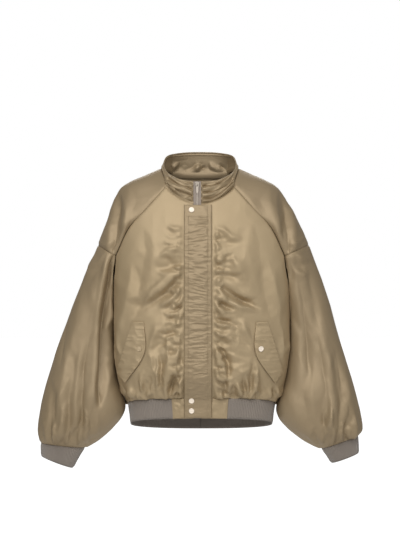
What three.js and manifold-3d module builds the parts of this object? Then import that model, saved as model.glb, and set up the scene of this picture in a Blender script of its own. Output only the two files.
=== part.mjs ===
// A blouson-style bomber jacket, filled out as it hangs when worn, with nobody in it.
// Sizes are millimetres. +Z is up, the front faces -Y and the wearer's left is at +X.
// The origin is the middle of the neck opening, at the height where the shoulders carry the jacket.
import * as THREE from "three";
import { mergeVertices } from "three/addons/utils/BufferGeometryUtils.js";
import ManifoldModule from "manifold-3d";

const manifold = await ManifoldModule();
manifold.setup();
const { Manifold, Mesh } = manifold;

// Driving sizes of the cloth
const shellCloth = 2; // satin shell with its light lining
const collarCloth = 3; // two layers with interlining
const ribCloth = 3;
const placketCloth = 2.4;
const flapCloth = 2;
const seamGap = 0.3;

// Driving sizes of the trims
const snapRadius = 7.3;
const snapHeight = 2.2;
const ribHeight = 56;
const zipEdge = { right: 18, left: 3 }; // how far each front's edge lies from the middle, at the zip
const placket = { fromX: -43.5, toX: 32.6, top: -79, bottom: -661 };

// Steps across each edge that two pieces share
const neckSteps = 5;
const raglanSteps = 10;
const armholeSteps = 6;
const yokeSteps = 16;
const bodyRows = 16;
const sleeveRows = 14;
const collarRows = 8;
const hemRows = 2;
const placketRows = 66;
const placketColumns = 4;
const flapRows = 14;
const flapColumns = 5;

const quarterTurn = Math.PI / 2;
const sides = { right: -1, left: 1 }; // the wearer's
const faces = { front: -1, back: 1 };

// Colours and finishes
const satin = new THREE.MeshStandardMaterial({ color: 0xa89878, roughness: 0.45, metalness: 0 });
const ribKnit = new THREE.MeshStandardMaterial({ color: 0x8a8076, roughness: 0.95, metalness: 0 });
const snapMetal = new THREE.MeshStandardMaterial({ color: 0xf0e2d0, roughness: 0.35, metalness: 0.2 });
const zipTapeCloth = new THREE.MeshStandardMaterial({ color: 0x8d8177, roughness: 0.8, metalness: 0 });
const zipMetal = new THREE.MeshStandardMaterial({ color: 0xb8b4aa, roughness: 0.3, metalness: 1 });

// The body's outline, a row for each height. The dent is where the side sinks in behind the arm.
const bodyLevels = [
  { height: -690, halfWidth: 201, front: 105, back: 108, dent: 2 },
  { height: -632, halfWidth: 212, front: 110, back: 113, dent: 7 },
  { height: -606, halfWidth: 237, front: 125, back: 126, dent: 22 },
  { height: -566, halfWidth: 256, front: 138, back: 134, dent: 32 },
  { height: -480, halfWidth: 266, front: 138, back: 132, dent: 34 },
  { height: -340, halfWidth: 267, front: 137, back: 130, dent: 30 },
  { height: -206, halfWidth: 263, front: 134, back: 130, dent: 20 },
  { height: -110, halfWidth: 248, front: 117, back: 122, dent: 0 },
  { height: -30, halfWidth: 236, front: 87, back: 104, dent: 0 },
  { height: 30, halfWidth: 225, front: 62, back: 88, dent: 0 },
];
const squareness = 2.4; // 2 is an ellipse
const sideShare = { right: 0.98, left: 1.02 }; // the jacket hangs a little to the wearer's left
const dentReach = 0.4; // radians round from the side seam
const hemSlope = { drop: 25, from: -420, to: -640 }; // the hem hangs lower behind than in front

// Where the raglan seam runs down each face, from the neck to the armhole.
const raglanSeam = [
  { along: 0, frontX: 95, frontZ: -28, backX: 80, backZ: 20 },
  { along: 0.33, frontX: 145, frontZ: -86, backX: 138, backZ: -50 },
  { along: 0.68, frontX: 195, frontZ: -141, backX: 194, backZ: -130 },
  { along: 1, frontX: 232, frontZ: -218, backX: 232, backZ: -214 },
];
const underarm = { height: -345 };
const neckFront = -76; // height of the collar seam at the zip
const neckBack = 17; // and in the middle of the back

// The shoulder line seen from the front, from the neck to the dropped shoulder seam.
const shoulderLine = [
  { along: 0, x: 110, z: 27 },
  { along: 0.08, x: 132, z: 17 },
  { along: 0.21, x: 174, z: 0 },
  { along: 0.33, x: 209, z: -16 },
  { along: 0.41, x: 228, z: -33 },
  { along: 0.5, x: 241, z: -58 },
  { along: 0.62, x: 256, z: -93 },
  { along: 0.78, x: 272, z: -137 },
  { along: 1, x: 290, z: -187 },
];

// How much further out each side's shoulder and sleeve reach than the tables say.
const outerShift = [
  { z: -720, right: 0, left: 0 },
  { z: -450, right: 0, left: 1 },
  { z: -340, right: -1, left: 8 },
  { z: -240, right: -4, left: 15 },
  { z: -170, right: -5, left: 14 },
  { z: -120, right: -6, left: 7 },
  { z: -70, right: -1, left: 1 },
  { z: 0, right: 0, left: -3 },
  { z: 40, right: 0, left: 0 },
];

// The sleeve below the armhole, a row for each ring. outer and inner are its edges seen from the front.
const sleeveRings = [
  { outerX: 337, outerZ: -304, innerX: 225, innerZ: -398, front: 76, back: 76, middle: 0 },
  { outerX: 371, outerZ: -398, innerX: 238, innerZ: -452, front: 80, back: 80, middle: -2 },
  { outerX: 405, outerZ: -500, innerX: 240, innerZ: -530, front: 84, back: 84, middle: -6 },
  { outerX: 434, outerZ: -596, innerX: 222, innerZ: -598, front: 90, back: 88, middle: -10 },
  { outerX: 448, outerZ: -664, innerX: 206, innerZ: -644, front: 90, back: 88, middle: -12 },
  { outerX: 453, outerZ: -712, innerX: 254, innerZ: -706, front: 76, back: 74, middle: -14 },
];
const cuffs = {
  right: [
    { outerX: 444, outerZ: -739, innerX: 320, innerZ: -752, front: 37, back: 37, middle: -15 },
    { outerX: 443, outerZ: -775, innerX: 354, innerZ: -809, front: 31, back: 31, middle: -17 },
  ],
  left: [
    { outerX: 441, outerZ: -717, innerX: 338, innerZ: -755, front: 37, back: 37, middle: -15 },
    { outerX: 443, outerZ: -766, innerX: 366, innerZ: -795, front: 31, back: 31, middle: -17 },
  ],
};
const sleeveSquareness = 2.2;
const sleeveClearance = { waist: 3, hem: 4 }; // between a sleeve and the body's side

// The collar's free edge, a row for each angle round the neck from the zip.
const collarEdge = [
  { angle: 0, across: 0, depth: -92, z: -14 },
  { angle: 30, across: 50, depth: -84, z: -9 },
  { angle: 60, across: 90, depth: -52, z: 14 },
  { angle: 90, across: 101, depth: 0, z: 42 },
  { angle: 125, across: 92, depth: 48, z: 67 },
  { angle: 155, across: 48, depth: 80, z: 78 },
  { angle: 180, across: 0, depth: 87, z: 80 },
];
const collarRolls = { count: 2.6, depth: 4.2, bulge: 8 };

// The main folds, in front view. A negative depth sinks in, and both ends fade out.
const folds = [
  // The crease between body and arm, from the shoulder's tip down
  { side: -1, face: -1, fromX: 231, fromZ: -30, toX: 236, toZ: -215, depth: -13, width: 13 },
  { side: 1, face: -1, fromX: 226, fromZ: -34, toX: 238, toZ: -215, depth: -12, width: 13 },
  { side: -1, face: 1, fromX: 229, fromZ: -34, toX: 238, toZ: -215, depth: -10, width: 16 },
  { side: 1, face: 1, fromX: 227, fromZ: -38, toX: 236, toZ: -215, depth: -10, width: 16 },
  // Down the wearer's right sleeve
  { side: -1, face: -1, fromX: 262, fromZ: -300, toX: 284, toZ: -720, depth: -8, width: 13 },
  { side: -1, face: -1, fromX: 330, fromZ: -330, toX: 352, toZ: -600, depth: -4, width: 26 },
  { side: -1, face: -1, fromX: 392, fromZ: -560, toX: 402, toZ: -720, depth: -6, width: 15 },
  { side: -1, face: -1, fromX: 330, fromZ: -590, toX: 342, toZ: -735, depth: -8, width: 11 },
  { side: -1, face: 1, fromX: 290, fromZ: -300, toX: 300, toZ: -700, depth: -7, width: 18 },
  { side: -1, face: 1, fromX: 380, fromZ: -480, toX: 392, toZ: -700, depth: -6, width: 18 },
  // Down the wearer's left sleeve
  { side: 1, face: -1, fromX: 292, fromZ: -250, toX: 318, toZ: -640, depth: -6, width: 18 },
  { side: 1, face: -1, fromX: 352, fromZ: -420, toX: 372, toZ: -690, depth: -5, width: 18 },
  { side: 1, face: -1, fromX: 398, fromZ: -600, toX: 412, toZ: -705, depth: -7, width: 12 },
  { side: 1, face: -1, fromX: 300, fromZ: -600, toX: 330, toZ: -720, depth: -7, width: 12 },
  { side: 1, face: 1, fromX: 296, fromZ: -300, toX: 306, toZ: -690, depth: -7, width: 18 },
  { side: 1, face: 1, fromX: 384, fromZ: -500, toX: 400, toZ: -700, depth: -6, width: 18 },
  // Out from the placket on the wearer's right
  { side: -1, face: -1, fromX: 60, fromZ: -262, toX: 146, toZ: -372, depth: 6, width: 13 },
  { side: -1, face: -1, fromX: 62, fromZ: -300, toX: 128, toZ: -368, depth: -7, width: 14 },
  { side: -1, face: -1, fromX: 58, fromZ: -404, toX: 124, toZ: -436, depth: -5, width: 11 },
  { side: -1, face: -1, fromX: 60, fromZ: -470, toX: 100, toZ: -596, depth: 4, width: 13 },
  { side: -1, face: -1, fromX: 116, fromZ: -486, toX: 122, toZ: -596, depth: -4, width: 9 },
  // Out from the placket on the wearer's left
  { side: 1, face: -1, fromX: 46, fromZ: -286, toX: 172, toZ: -372, depth: -8, width: 12 },
  { side: 1, face: -1, fromX: 60, fromZ: -262, toX: 180, toZ: -346, depth: 4, width: 14 },
  { side: 1, face: -1, fromX: 52, fromZ: -346, toX: 112, toZ: -384, depth: -5, width: 9 },
  { side: 1, face: -1, fromX: 50, fromZ: -452, toX: 82, toZ: -560, depth: -6, width: 12 },
  { side: 1, face: -1, fromX: 60, fromZ: -575, toX: 134, toZ: -606, depth: -5, width: 10 },
  { side: 1, face: -1, fromX: 146, fromZ: -520, toX: 136, toZ: -612, depth: -4, width: 9 },
  // Across the back, blousing over the rib
  { side: -1, face: 1, fromX: 30, fromZ: -330, toX: 196, toZ: -250, depth: -6, width: 22 },
  { side: 1, face: 1, fromX: 26, fromZ: -360, toX: 200, toZ: -268, depth: -6, width: 22 },
  { side: -1, face: 1, fromX: 110, fromZ: -430, toX: 130, toZ: -610, depth: -6, width: 18 },
  { side: 1, face: 1, fromX: 96, fromZ: -450, toX: 122, toZ: -612, depth: -6, width: 18 },
  { side: 1, face: 1, fromX: 8, fromZ: -470, toX: 22, toZ: -616, depth: -5, width: 18 },
];
const bodyGathers = { waves: 15, depth: 5, above: 26, reach: 42 };
const sleeveGathers = { waves: 13, depth: 6.5, reach: 120 };
const placketPuckers = { depth: 1.7, step: 2.35 };

// The pocket flap's edges from top to bottom, in front view.
const flapEdges = [
  { along: 0, innerX: 152, innerZ: -398, outerX: 184, outerZ: -397 },
  { along: 0.5, innerX: 149, innerZ: -484, outerX: 206, outerZ: -468 },
  { along: 1, innerX: 203, innerZ: -566, outerX: 225, outerZ: -537 },
];
const snapPlaces = [
  { name: "snap_neck", on: "placket", x: -23, z: -94 },
  { name: "snap_hem_upper", on: "placket", x: -23, z: -613 },
  { name: "snap_hem_lower", on: "placket", x: -23, z: -641 },
  { name: "snap_pocket_right", on: "pocket_flap_right", x: -165, z: -471 },
  { name: "snap_pocket_left", on: "pocket_flap_left", x: 165, z: -471 },
];
const flatRoundSnap = 14; // the cloth lies flat this far from a snap

const clamp = (value) => Math.min(1, Math.max(0, value));
const smooth = (from, to, value) => {
  const t = clamp((value - from) / (to - from));
  return t * t * (3 - 2 * t);
};
const mix = (a, b, t) => a + (b - a) * t;

function hermite(a, b, slopeA, slopeB, t) {
  const t2 = t * t;
  const t3 = t2 * t;
  return a * (2 * t3 - 3 * t2 + 1) + slopeA * (t3 - 2 * t2 + t) + b * (3 * t2 - 2 * t3) + slopeB * (t3 - t2);
}

// A smooth value from one column of a table, at a place along another column, which rises.
function read(table, by, at, column) {
  const last = table.length - 1;
  const next = table.findIndex((row) => row[by] > at);
  if (next < 1) return table[next === 0 ? 0 : last][column];
  const slope = (i) => {
    const before = table[Math.max(i - 1, 0)];
    const after = table[Math.min(i + 1, last)];
    return (after[column] - before[column]) / (after[by] - before[by]);
  };
  const a = table[next - 1];
  const b = table[next];
  const span = b[by] - a[by];
  return hermite(a[column], b[column], slope(next - 1) * span, slope(next) * span, (at - a[by]) / span);
}

// A point of the body's surface. turn is 0 in the middle of the face and a quarter turn at the side.
function bodyPoint(side, face, turn, height) {
  const width = read(bodyLevels, "height", height, "halfWidth");
  const depth = read(bodyLevels, "height", height, face === faces.front ? "front" : "back");
  const dent = read(bodyLevels, "height", height, "dent");
  const s = Math.sin(turn);
  const c = Math.max(0, Math.cos(turn));
  const round = (s ** squareness + c ** squareness) ** (-1 / squareness);
  const share = side === sides.right ? sideShare.right : sideShare.left;
  const fromSide = (quarterTurn - turn) / dentReach;
  const drop = hemSlope.drop * smooth(hemSlope.from, hemSlope.to, height);
  return new THREE.Vector3(
    side * share * (width * s * round - dent * Math.exp(-fromSide * fromSide)),
    face * depth * c * round,
    height - face * drop * c * round,
  );
}

// The turn at which the body's surface is that far from the middle.
function turnAt(side, x, face, height) {
  let low = 0;
  let high = 1.25;
  for (let i = 0; i < 40; i++) {
    const middle = (low + high) / 2;
    if (Math.abs(bodyPoint(side, face, middle, height).x) < x) low = middle;
    else high = middle;
  }
  return (low + high) / 2;
}

// Where each column of a body panel starts at the hem and ends at the neck, raglan seam or armhole.
function bodyColumns(side, face) {
  const front = face === faces.front;
  const edgeX = !front ? 0 : side === sides.right ? zipEdge.right : zipEdge.left;
  const seam = (along) => ({
    x: read(raglanSeam, "along", along, front ? "frontX" : "backX"),
    z: read(raglanSeam, "along", along, front ? "frontZ" : "backZ"),
  });
  const corner = seam(0);
  const neckMiddle = front ? neckFront : neckBack;
  const hem = bodyLevels[1].height;
  const top = [];
  for (let j = 0; j < neckSteps; j++) {
    const x = mix(edgeX, corner.x, j / neckSteps);
    const z = mix(neckMiddle, corner.z, (x / corner.x) ** 2);
    top.push({ turn: turnAt(side, x, face, z), height: z });
  }
  for (let j = 0; j <= raglanSteps; j++) {
    const { x, z } = seam(j / raglanSteps);
    top.push({ turn: turnAt(side, x, face, z), height: z });
  }
  const meeting = top[top.length - 1];
  for (let j = 1; j <= armholeSteps; j++) {
    const sweep = (j / armholeSteps) * quarterTurn;
    top.push({
      turn: mix(meeting.turn, quarterTurn, 1 - Math.cos(sweep)),
      height: mix(meeting.height, underarm.height, Math.sin(sweep)),
    });
  }
  const hemTabTurn = turnAt(side, 78, face, hem);
  const hemEdgeTurn = turnAt(side, edgeX, face, hem);
  return top.map((place, j) => ({
    top: place,
    hemTurn:
      j <= neckSteps
        ? mix(hemEdgeTurn, hemTabTurn, j / neckSteps)
        : mix(hemTabTurn, quarterTurn, (j - neckSteps) / (top.length - 1 - neckSteps)),
    edgeX: j === 0 && edgeX > 0 ? edgeX : null,
  }));
}

// A body panel's points, in rows from the hem up. Column 0 is the middle of the face.
function bodyHalf(side, face) {
  const hem = bodyLevels[1].height;
  return Array.from({ length: bodyRows + 1 }, (_, i) => {
    const up = 1 - (1 - i / bodyRows) ** 0.9;
    return bodyColumns(side, face).map((column) => {
      const height = mix(hem, column.top.height, up);
      const turn = column.edgeX
        ? turnAt(side, column.edgeX, face, height)
        : mix(column.hemTurn, column.top.turn, smooth(0, 1, up) * 0.5 + up * 0.5);
      return bodyPoint(side, face, turn, height);
    });
  });
}

const shiftAt = (side, z) => read(outerShift, "z", z, side === sides.right ? "right" : "left");

// Half of a yoke's section, from the raglan seam on one face up to the shoulder line.
function yokeHalf(side, face, along) {
  const columns = bodyColumns(side, face);
  const index = neckSteps + Math.round(along * raglanSteps);
  const { turn, height } = columns[index].top;
  const start = bodyPoint(side, face, turn, height);
  const up = bodyPoint(side, face, turn, height + 2).sub(start).normalize();
  const out = new THREE.Vector3(side * 0.5, face * 0.84, 0.2).normalize();
  const away = up.lerp(out, smooth(0.35, 1, along)).normalize();
  const endZ = read(shoulderLine, "along", along, "z");
  const endX = read(shoulderLine, "along", along, "x") + shiftAt(side, endZ);
  const end = new THREE.Vector3(side * endX, 0, endZ);
  const reach = start.distanceTo(end) * mix(0.6, 1.22, smooth(0, 0.22, along));
  const over = new THREE.Vector3(0, -face, 0);
  const half = yokeSteps / 2;
  return Array.from({ length: half + 1 }, (_, i) => {
    const t = i / half;
    const axis = (name) =>
      hermite(start[name], end[name], away[name] * reach, over[name] * reach, t);
    return new THREE.Vector3(axis("x"), axis("y"), axis("z"));
  });
}

// A yoke's points, in rows from the neck to the dropped shoulder, each from the front seam to the back one.
function yokeRows(side) {
  return Array.from({ length: raglanSteps + 1 }, (_, i) => {
    const front = yokeHalf(side, faces.front, i / raglanSteps);
    const back = yokeHalf(side, faces.back, i / raglanSteps);
    return [...front, ...back.reverse().slice(1)];
  });
}

// A point on a ring of the sleeve. round is 0 at the outer edge, and rises through the front.
function ringPoint(side, ring, round) {
  const c = Math.cos(round);
  const s = Math.sin(round);
  const n = sleeveSquareness;
  const k = (Math.abs(c) ** n + Math.abs(s) ** n) ** (-1 / n);
  const outerX = ring.outerX + shiftAt(side, ring.outerZ);
  const halfX = (outerX - ring.innerX) / 2;
  const halfZ = (ring.outerZ - ring.innerZ) / 2;
  return new THREE.Vector3(
    side * ((outerX + ring.innerX) / 2 + halfX * c * k),
    ring.middle - (s > 0 ? ring.front : ring.back) * s * k,
    (ring.outerZ + ring.innerZ) / 2 + halfZ * c * k,
  );
}

// How far out the body's side is at a depth and height, the folds not counted.
function bodySide(side, depth, z) {
  const face = depth < 0 ? faces.front : faces.back;
  const reach = [-6, 0, 6].map((shift) => {
    let low = 0.2;
    let high = quarterTurn;
    for (let i = 0; i < 24; i++) {
      const middle = (low + high) / 2;
      if (Math.abs(bodyPoint(side, face, middle, z + shift).y) > Math.abs(depth)) low = middle;
      else high = middle;
    }
    return Math.abs(bodyPoint(side, face, low, z + shift).x);
  });
  return Math.max(...reach);
}

// Keeps a point of the sleeve just clear of the body it hangs against.
function clearOfBody(side, point) {
  const { frontZ } = raglanSeam[raglanSeam.length - 1];
  const below = smooth(0, 26, frontZ - point.z);
  const margin = mix(sleeveClearance.waist, sleeveClearance.hem, smooth(-510, -570, point.z));
  const least = bodySide(side, point.y, point.z) + margin;
  const short = Math.max(0, least - Math.abs(point.x));
  return point.setX(point.x + side * short * below);
}

const yokeSpan = 1.72; // radians that the yoke's edge covers each way from the sleeve's outer edge

// The angle on the sleeve's rings of each column, starting at the underarm and going by the front.
function sleeveAngles() {
  const angles = [];
  for (let j = 0; j < armholeSteps; j++) angles.push(mix(Math.PI, yokeSpan, j / armholeSteps));
  for (let j = 0; j < yokeSteps; j++) angles.push(mix(yokeSpan, -yokeSpan, j / yokeSteps));
  for (let j = 0; j < armholeSteps; j++) angles.push(mix(-yokeSpan, -Math.PI, j / armholeSteps));
  return angles;
}

// The armhole as one loop: up the front armhole, over the yoke's edge and down the back armhole.
function armholeLoop(side) {
  const edge = (face) => {
    const rows = bodyHalf(side, face);
    return rows[bodyRows].slice(neckSteps + raglanSteps); // from the meeting point to the underarm
  };
  const front = edge(faces.front).reverse();
  const back = edge(faces.back);
  const over = yokeRows(side)[raglanSteps];
  return [...front.slice(0, -1), ...over.slice(0, -1), ...back.slice(0, -1)];
}

// A sleeve's points, in rows from the armhole to the cuff seam, each closing on itself.
function sleeveTube(side, sideName) {
  const rings = [...sleeveRings, cuffs[sideName][0]];
  const loop = armholeLoop(side);
  const angles = sleeveAngles();
  const columns = loop.map((start, j) => {
    const points = [start, ...rings.map((ring) => ringPoint(side, ring, angles[j]))];
    return new THREE.CatmullRomCurve3(points, false, "centripetal");
  });
  return Array.from({ length: sleeveRows + 1 }, (_, i) => {
    const down = 1 - (1 - i / sleeveRows) ** 1.25;
    return columns.map((curve) => clearOfBody(side, curve.getPointAt(down)));
  });
}

function cuffTube(side, sideName) {
  const [top, bottom] = cuffs[sideName];
  const angles = sleeveAngles();
  return Array.from({ length: hemRows + 1 }, (_, i) =>
    angles.map((angle) =>
      ringPoint(side, top, angle).lerp(ringPoint(side, bottom, angle), i / hemRows),
    ),
  );
}

// The neck seam as one open line, from the zip on the wearer's right, round the back, to the zip on the left.
function neckLine() {
  const front = (side) => bodyHalf(side, faces.front)[bodyRows].slice(0, neckSteps + 1);
  const back = (side) => bodyHalf(side, faces.back)[bodyRows].slice(0, neckSteps + 1);
  const yoke = (side) => yokeRows(side)[0];
  return [
    ...front(sides.right).slice(0, -1),
    ...yoke(sides.right).slice(0, -1),
    ...back(sides.right).reverse().slice(0, -1),
    ...back(sides.left).slice(0, -1),
    ...yoke(sides.left).reverse().slice(0, -1),
    ...front(sides.left).reverse(),
  ];
}

// The collar's points, in rows from the neck seam to its free edge.
function collarWall() {
  const base = neckLine();
  const last = base.length - 1;
  const edge = base.map((point, j) => {
    const angle = (Math.atan2(Math.abs(point.x), -point.y) * 180) / Math.PI;
    const fromZip = j === 0 || j === last ? 0 : angle;
    const side = j <= last / 2 ? sides.right : sides.left;
    const opening = j <= last / 2 ? zipEdge.right : zipEdge.left;
    const across = Math.max(angle < 90 ? opening : 0, read(collarEdge, "angle", fromZip, "across"));
    return new THREE.Vector3(
      side * (j === 0 || j === last ? opening : across),
      read(collarEdge, "angle", fromZip, "depth"),
      read(collarEdge, "angle", fromZip, "z"),
    );
  });
  return Array.from({ length: collarRows + 1 }, (_, i) => {
    const up = i / collarRows;
    return base.map((point, j) => {
      const fromZip = Math.min(j, last - j) / last; // 0 at the zip and a half at the back
      const front = 1 - smooth(0.2, 0.36, fromZip);
      const nearZip = mix(0.1, 1, smooth(0, 0.07, fromZip));
      const out = new THREE.Vector3(point.x, point.y, 0).normalize();
      const share = nearZip * mix(1, 0.3, out.x ** 2);
      const wave = Math.sin(2 * Math.PI * collarRolls.count * up) * collarRolls.depth * front;
      const swell = Math.sin(Math.PI * up) ** 2 * collarRolls.bulge * mix(0.4, 1, front);
      const fade = smooth(0, 0.25, up) * smooth(1, 0.9, up);
      return point.clone().lerp(edge[j], up).addScaledVector(out, (wave * fade + swell) * share);
    });
  });
}

// How far the main folds and the gathers move the cloth out at a point.
function foldHeight(point, normal) {
  const face = point.y < 0 ? faces.front : faces.back;
  const side = point.x < 0 ? sides.right : sides.left;
  const x = Math.abs(point.x);
  const onFace = smooth(0.1, 0.45, Math.abs(normal.y)) * smooth(4, 30, Math.abs(point.y));
  let height = 0;
  for (const fold of folds) {
    if (fold.side !== side || fold.face !== face) continue;
    const runX = fold.toX - fold.fromX;
    const runZ = fold.toZ - fold.fromZ;
    const along =
      ((x - fold.fromX) * runX + (point.z - fold.fromZ) * runZ) / (runX * runX + runZ * runZ);
    const t = clamp(along);
    const away = Math.hypot(
      x - fold.fromX - runX * t,
      point.z - fold.fromZ - runZ * t,
    ) / fold.width;
    height += fold.depth * Math.exp(-away * away) * Math.sin(Math.PI * t) ** 0.6;
  }
  return height * onFace;
}

// Short folds that stand up from the rib, all round the body.
function bodyGatherHeight(point) {
  const round = Math.atan2(point.x / 2, point.y);
  const sink = Math.sign(point.y) * hemSlope.drop * smooth(0, 90, Math.abs(point.y));
  const up = point.z - bodyLevels[1].height + sink;
  const past = Math.max(0, up - bodyGathers.above);
  const rise = smooth(0, bodyGathers.above, up) * Math.exp(-past / bodyGathers.reach);
  const uneven = 0.7 + 0.3 * Math.sin(round * 5 + 1.3);
  const clearOfPlacket = clamp(smooth(58, 84, Math.abs(point.x)) + (point.y > 0 ? 1 : 0));
  const clearOfSleeve = smooth(0, 46, Math.abs(point.y));
  const wave = Math.sin(round * bodyGathers.waves * 2 + 0.6);
  return bodyGathers.depth * wave * rise * uneven * clearOfPlacket * clearOfSleeve;
}

function sleeveGatherHeight(column, columns, down) {
  const round = (column / columns) * 2 * Math.PI;
  const wave = Math.sin(round * sleeveGathers.waves * 0.5) * 0.6 + Math.sin(round * 7 + 2) * 0.4;
  return sleeveGathers.depth * wave * smooth(0.62, 0.9, down) * smooth(1, 0.96, down);
}

// Every cloth wall waits here until the normals that neighbours share along their seams are known.
const walls = new Map();

// What a wall does unless it says otherwise: no folds, no settling, and an even seam gap
const plainWall = { lift: () => 0, settle: (point) => point, trim: () => seamGap / 2 };

function addWall(name, material, thickness, rows, inside, options = {}) {
  walls.set(name, { name, material, thickness, rows, inside, closed: false, ...plainWall, ...options });
}

const keyOf = (point) => `${point.x.toFixed(2)} ${point.y.toFixed(2)} ${point.z.toFixed(2)}`;

function eachQuad(wall, visit) {
  const columns = wall.rows[0].length;
  const across = wall.closed ? columns : columns - 1;
  for (let i = 0; i + 1 < wall.rows.length; i++)
    for (let j = 0; j < across; j++) visit(i, j, (j + 1) % columns);
}

// The outward normal at each point, averaged over every wall that meets there.
function findNormals() {
  const sums = new Map();
  for (const wall of walls.values()) {
    const { rows } = wall;
    const quads = [];
    let outward = 0;
    eachQuad(wall, (i, j, k) => {
      const corners = [rows[i][j], rows[i][k], rows[i + 1][k], rows[i + 1][j]];
      const normal = corners[2].clone().sub(corners[0]).cross(corners[3].clone().sub(corners[1]));
      const middle = corners.reduce((sum, p) => sum.add(p), new THREE.Vector3()).multiplyScalar(0.25);
      outward += normal.dot(middle.sub(wall.inside(middle)));
      quads.push({ corners, normal });
    });
    wall.turned = outward < 0;
    for (const { corners, normal } of quads)
      for (const corner of corners) {
        const key = wall.apart ? `${wall.name} ${keyOf(corner)}` : keyOf(corner);
        if (!sums.has(key)) sums.set(key, new THREE.Vector3());
        sums.get(key).addScaledVector(normal, wall.turned ? -1 : 1);
      }
  }
  for (const wall of walls.values())
    wall.normals = wall.rows.map((row) =>
      row.map((point) => {
        const key = wall.apart ? `${wall.name} ${keyOf(point)}` : keyOf(point);
        return sums.get(key).clone().normalize();
      }),
    );
}

// Moves every wall's points out by its folds.
function foldWalls() {
  findNormals();
  for (const wall of walls.values())
    wall.rows = wall.rows.map((row, i) =>
      row.map((point, j) =>
        wall.settle(
          point.clone().addScaledVector(wall.normals[i][j], wall.lift(point, wall.normals[i][j], i, j)),
        ),
      ),
    );
  findNormals();
}

// The closed solid of a wall: its outer points, the same points moved in, and a rim.
function wallGeometry(wall) {
  const { rows, normals, thickness, closed, turned } = wall;
  const height = rows.length;
  const width = rows[0].length;
  const step = (from, to, far) => to.clone().sub(from).normalize().multiplyScalar(far);
  const trimmed = rows.map((row, i) =>
    row.map((point, j) => {
      const far = wall.trim(i, j);
      const moved = new THREE.Vector3();
      if (i === 0) moved.add(step(point, rows[1][j], far));
      if (i === height - 1) moved.add(step(point, rows[i - 1][j], far));
      if (!closed && j === 0) moved.add(step(point, row[1], far));
      if (!closed && j === width - 1) moved.add(step(point, row[j - 1], far));
      return moved;
    }),
  );
  const positions = [];
  for (const layer of [0, thickness])
    rows.forEach((row, i) =>
      row.forEach((point, j) => {
        const p = point.clone().add(trimmed[i][j]).addScaledVector(normals[i][j], -layer);
        positions.push(p.x, p.y, p.z);
      }),
    );
  const count = height * width;
  const at = (i, j, layer) => layer * count + i * width + j;
  const index = [];
  const quad = (a, b, c, d) => {
    if (turned) index.push(a, c, b, a, d, c);
    else index.push(a, b, c, a, c, d);
  };
  eachQuad(wall, (i, j, k) => {
    quad(at(i, j, 0), at(i, k, 0), at(i + 1, k, 0), at(i + 1, j, 0));
    quad(at(i, j, 1), at(i + 1, j, 1), at(i + 1, k, 1), at(i, k, 1));
  });
  const across = closed ? width : width - 1;
  for (let j = 0; j < across; j++) {
    const k = (j + 1) % width;
    quad(at(0, k, 0), at(0, j, 0), at(0, j, 1), at(0, k, 1));
    quad(at(height - 1, j, 0), at(height - 1, k, 0), at(height - 1, k, 1), at(height - 1, j, 1));
  }
  if (!closed)
    for (let i = 0; i < height - 1; i++) {
      quad(at(i, 0, 0), at(i + 1, 0, 0), at(i + 1, 0, 1), at(i, 0, 1));
      quad(at(i + 1, width - 1, 0), at(i, width - 1, 0), at(i, width - 1, 1), at(i + 1, width - 1, 1));
    }
  const geometry = new THREE.BufferGeometry();
  geometry.setAttribute("position", new THREE.Float32BufferAttribute(positions, 3));
  geometry.setIndex(index);
  geometry.computeVertexNormals();
  return geometry;
}

const bodyAxis = (point) => new THREE.Vector3(point.x * 0.5, 0, point.z);
const yokeInside = (point) => new THREE.Vector3(Math.sign(point.x) * 200, 0, -200);
const sleeveAxis = (side) => (point) => {
  const down = clamp((-150 - point.z) / 600);
  return new THREE.Vector3(side * mix(265, 385, down), -8, point.z);
};
const bodyLift = (point, normal) =>
  foldHeight(point, normal) * (point.y < 0 ? smooth(44, 64, Math.abs(point.x)) : 1) +
  bodyGatherHeight(point);

// The cloth walls that are sewn edge to edge
function addShell() {
  for (const [name, side] of Object.entries(sides)) {
    addWall(`front_${name}`, satin, shellCloth, bodyHalf(side, faces.front), bodyAxis, { lift: bodyLift });
    addWall(`yoke_${name}`, satin, shellCloth, yokeRows(side), yokeInside, {
      lift: foldHeight,
      trim: () => seamGap * 1.8,
    });
    const columns = sleeveAngles().length;
    addWall(`sleeve_${name}`, satin, shellCloth, sleeveTube(side, name), sleeveAxis(side), {
      closed: true,
      lift: (point, normal, i, j) =>
        foldHeight(point, normal) * smooth(1, 0.93, i / sleeveRows) +
        sleeveGatherHeight(j, columns, i / sleeveRows),
      settle: (point) => clearOfBody(side, point),
      trim: (i) => (i === 0 ? seamGap * 1.2 : seamGap / 2),
    });
    addWall(`cuff_${name}`, ribKnit, ribCloth, cuffTube(side, name), sleeveAxis(side), { closed: true });
  }
  const back = bodyHalf(sides.right, faces.back).map((row, i) => [
    ...row.slice(1).reverse(),
    ...bodyHalf(sides.left, faces.back)[i],
  ]);
  addWall("back", satin, shellCloth, back, bodyAxis, { lift: bodyLift });
  addWall("collar", satin, collarCloth, collarWall(), (point) => new THREE.Vector3(0, 0, point.z), {
    trim: (i) => (i === 0 ? seamGap : seamGap / 2),
  });
}

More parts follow.
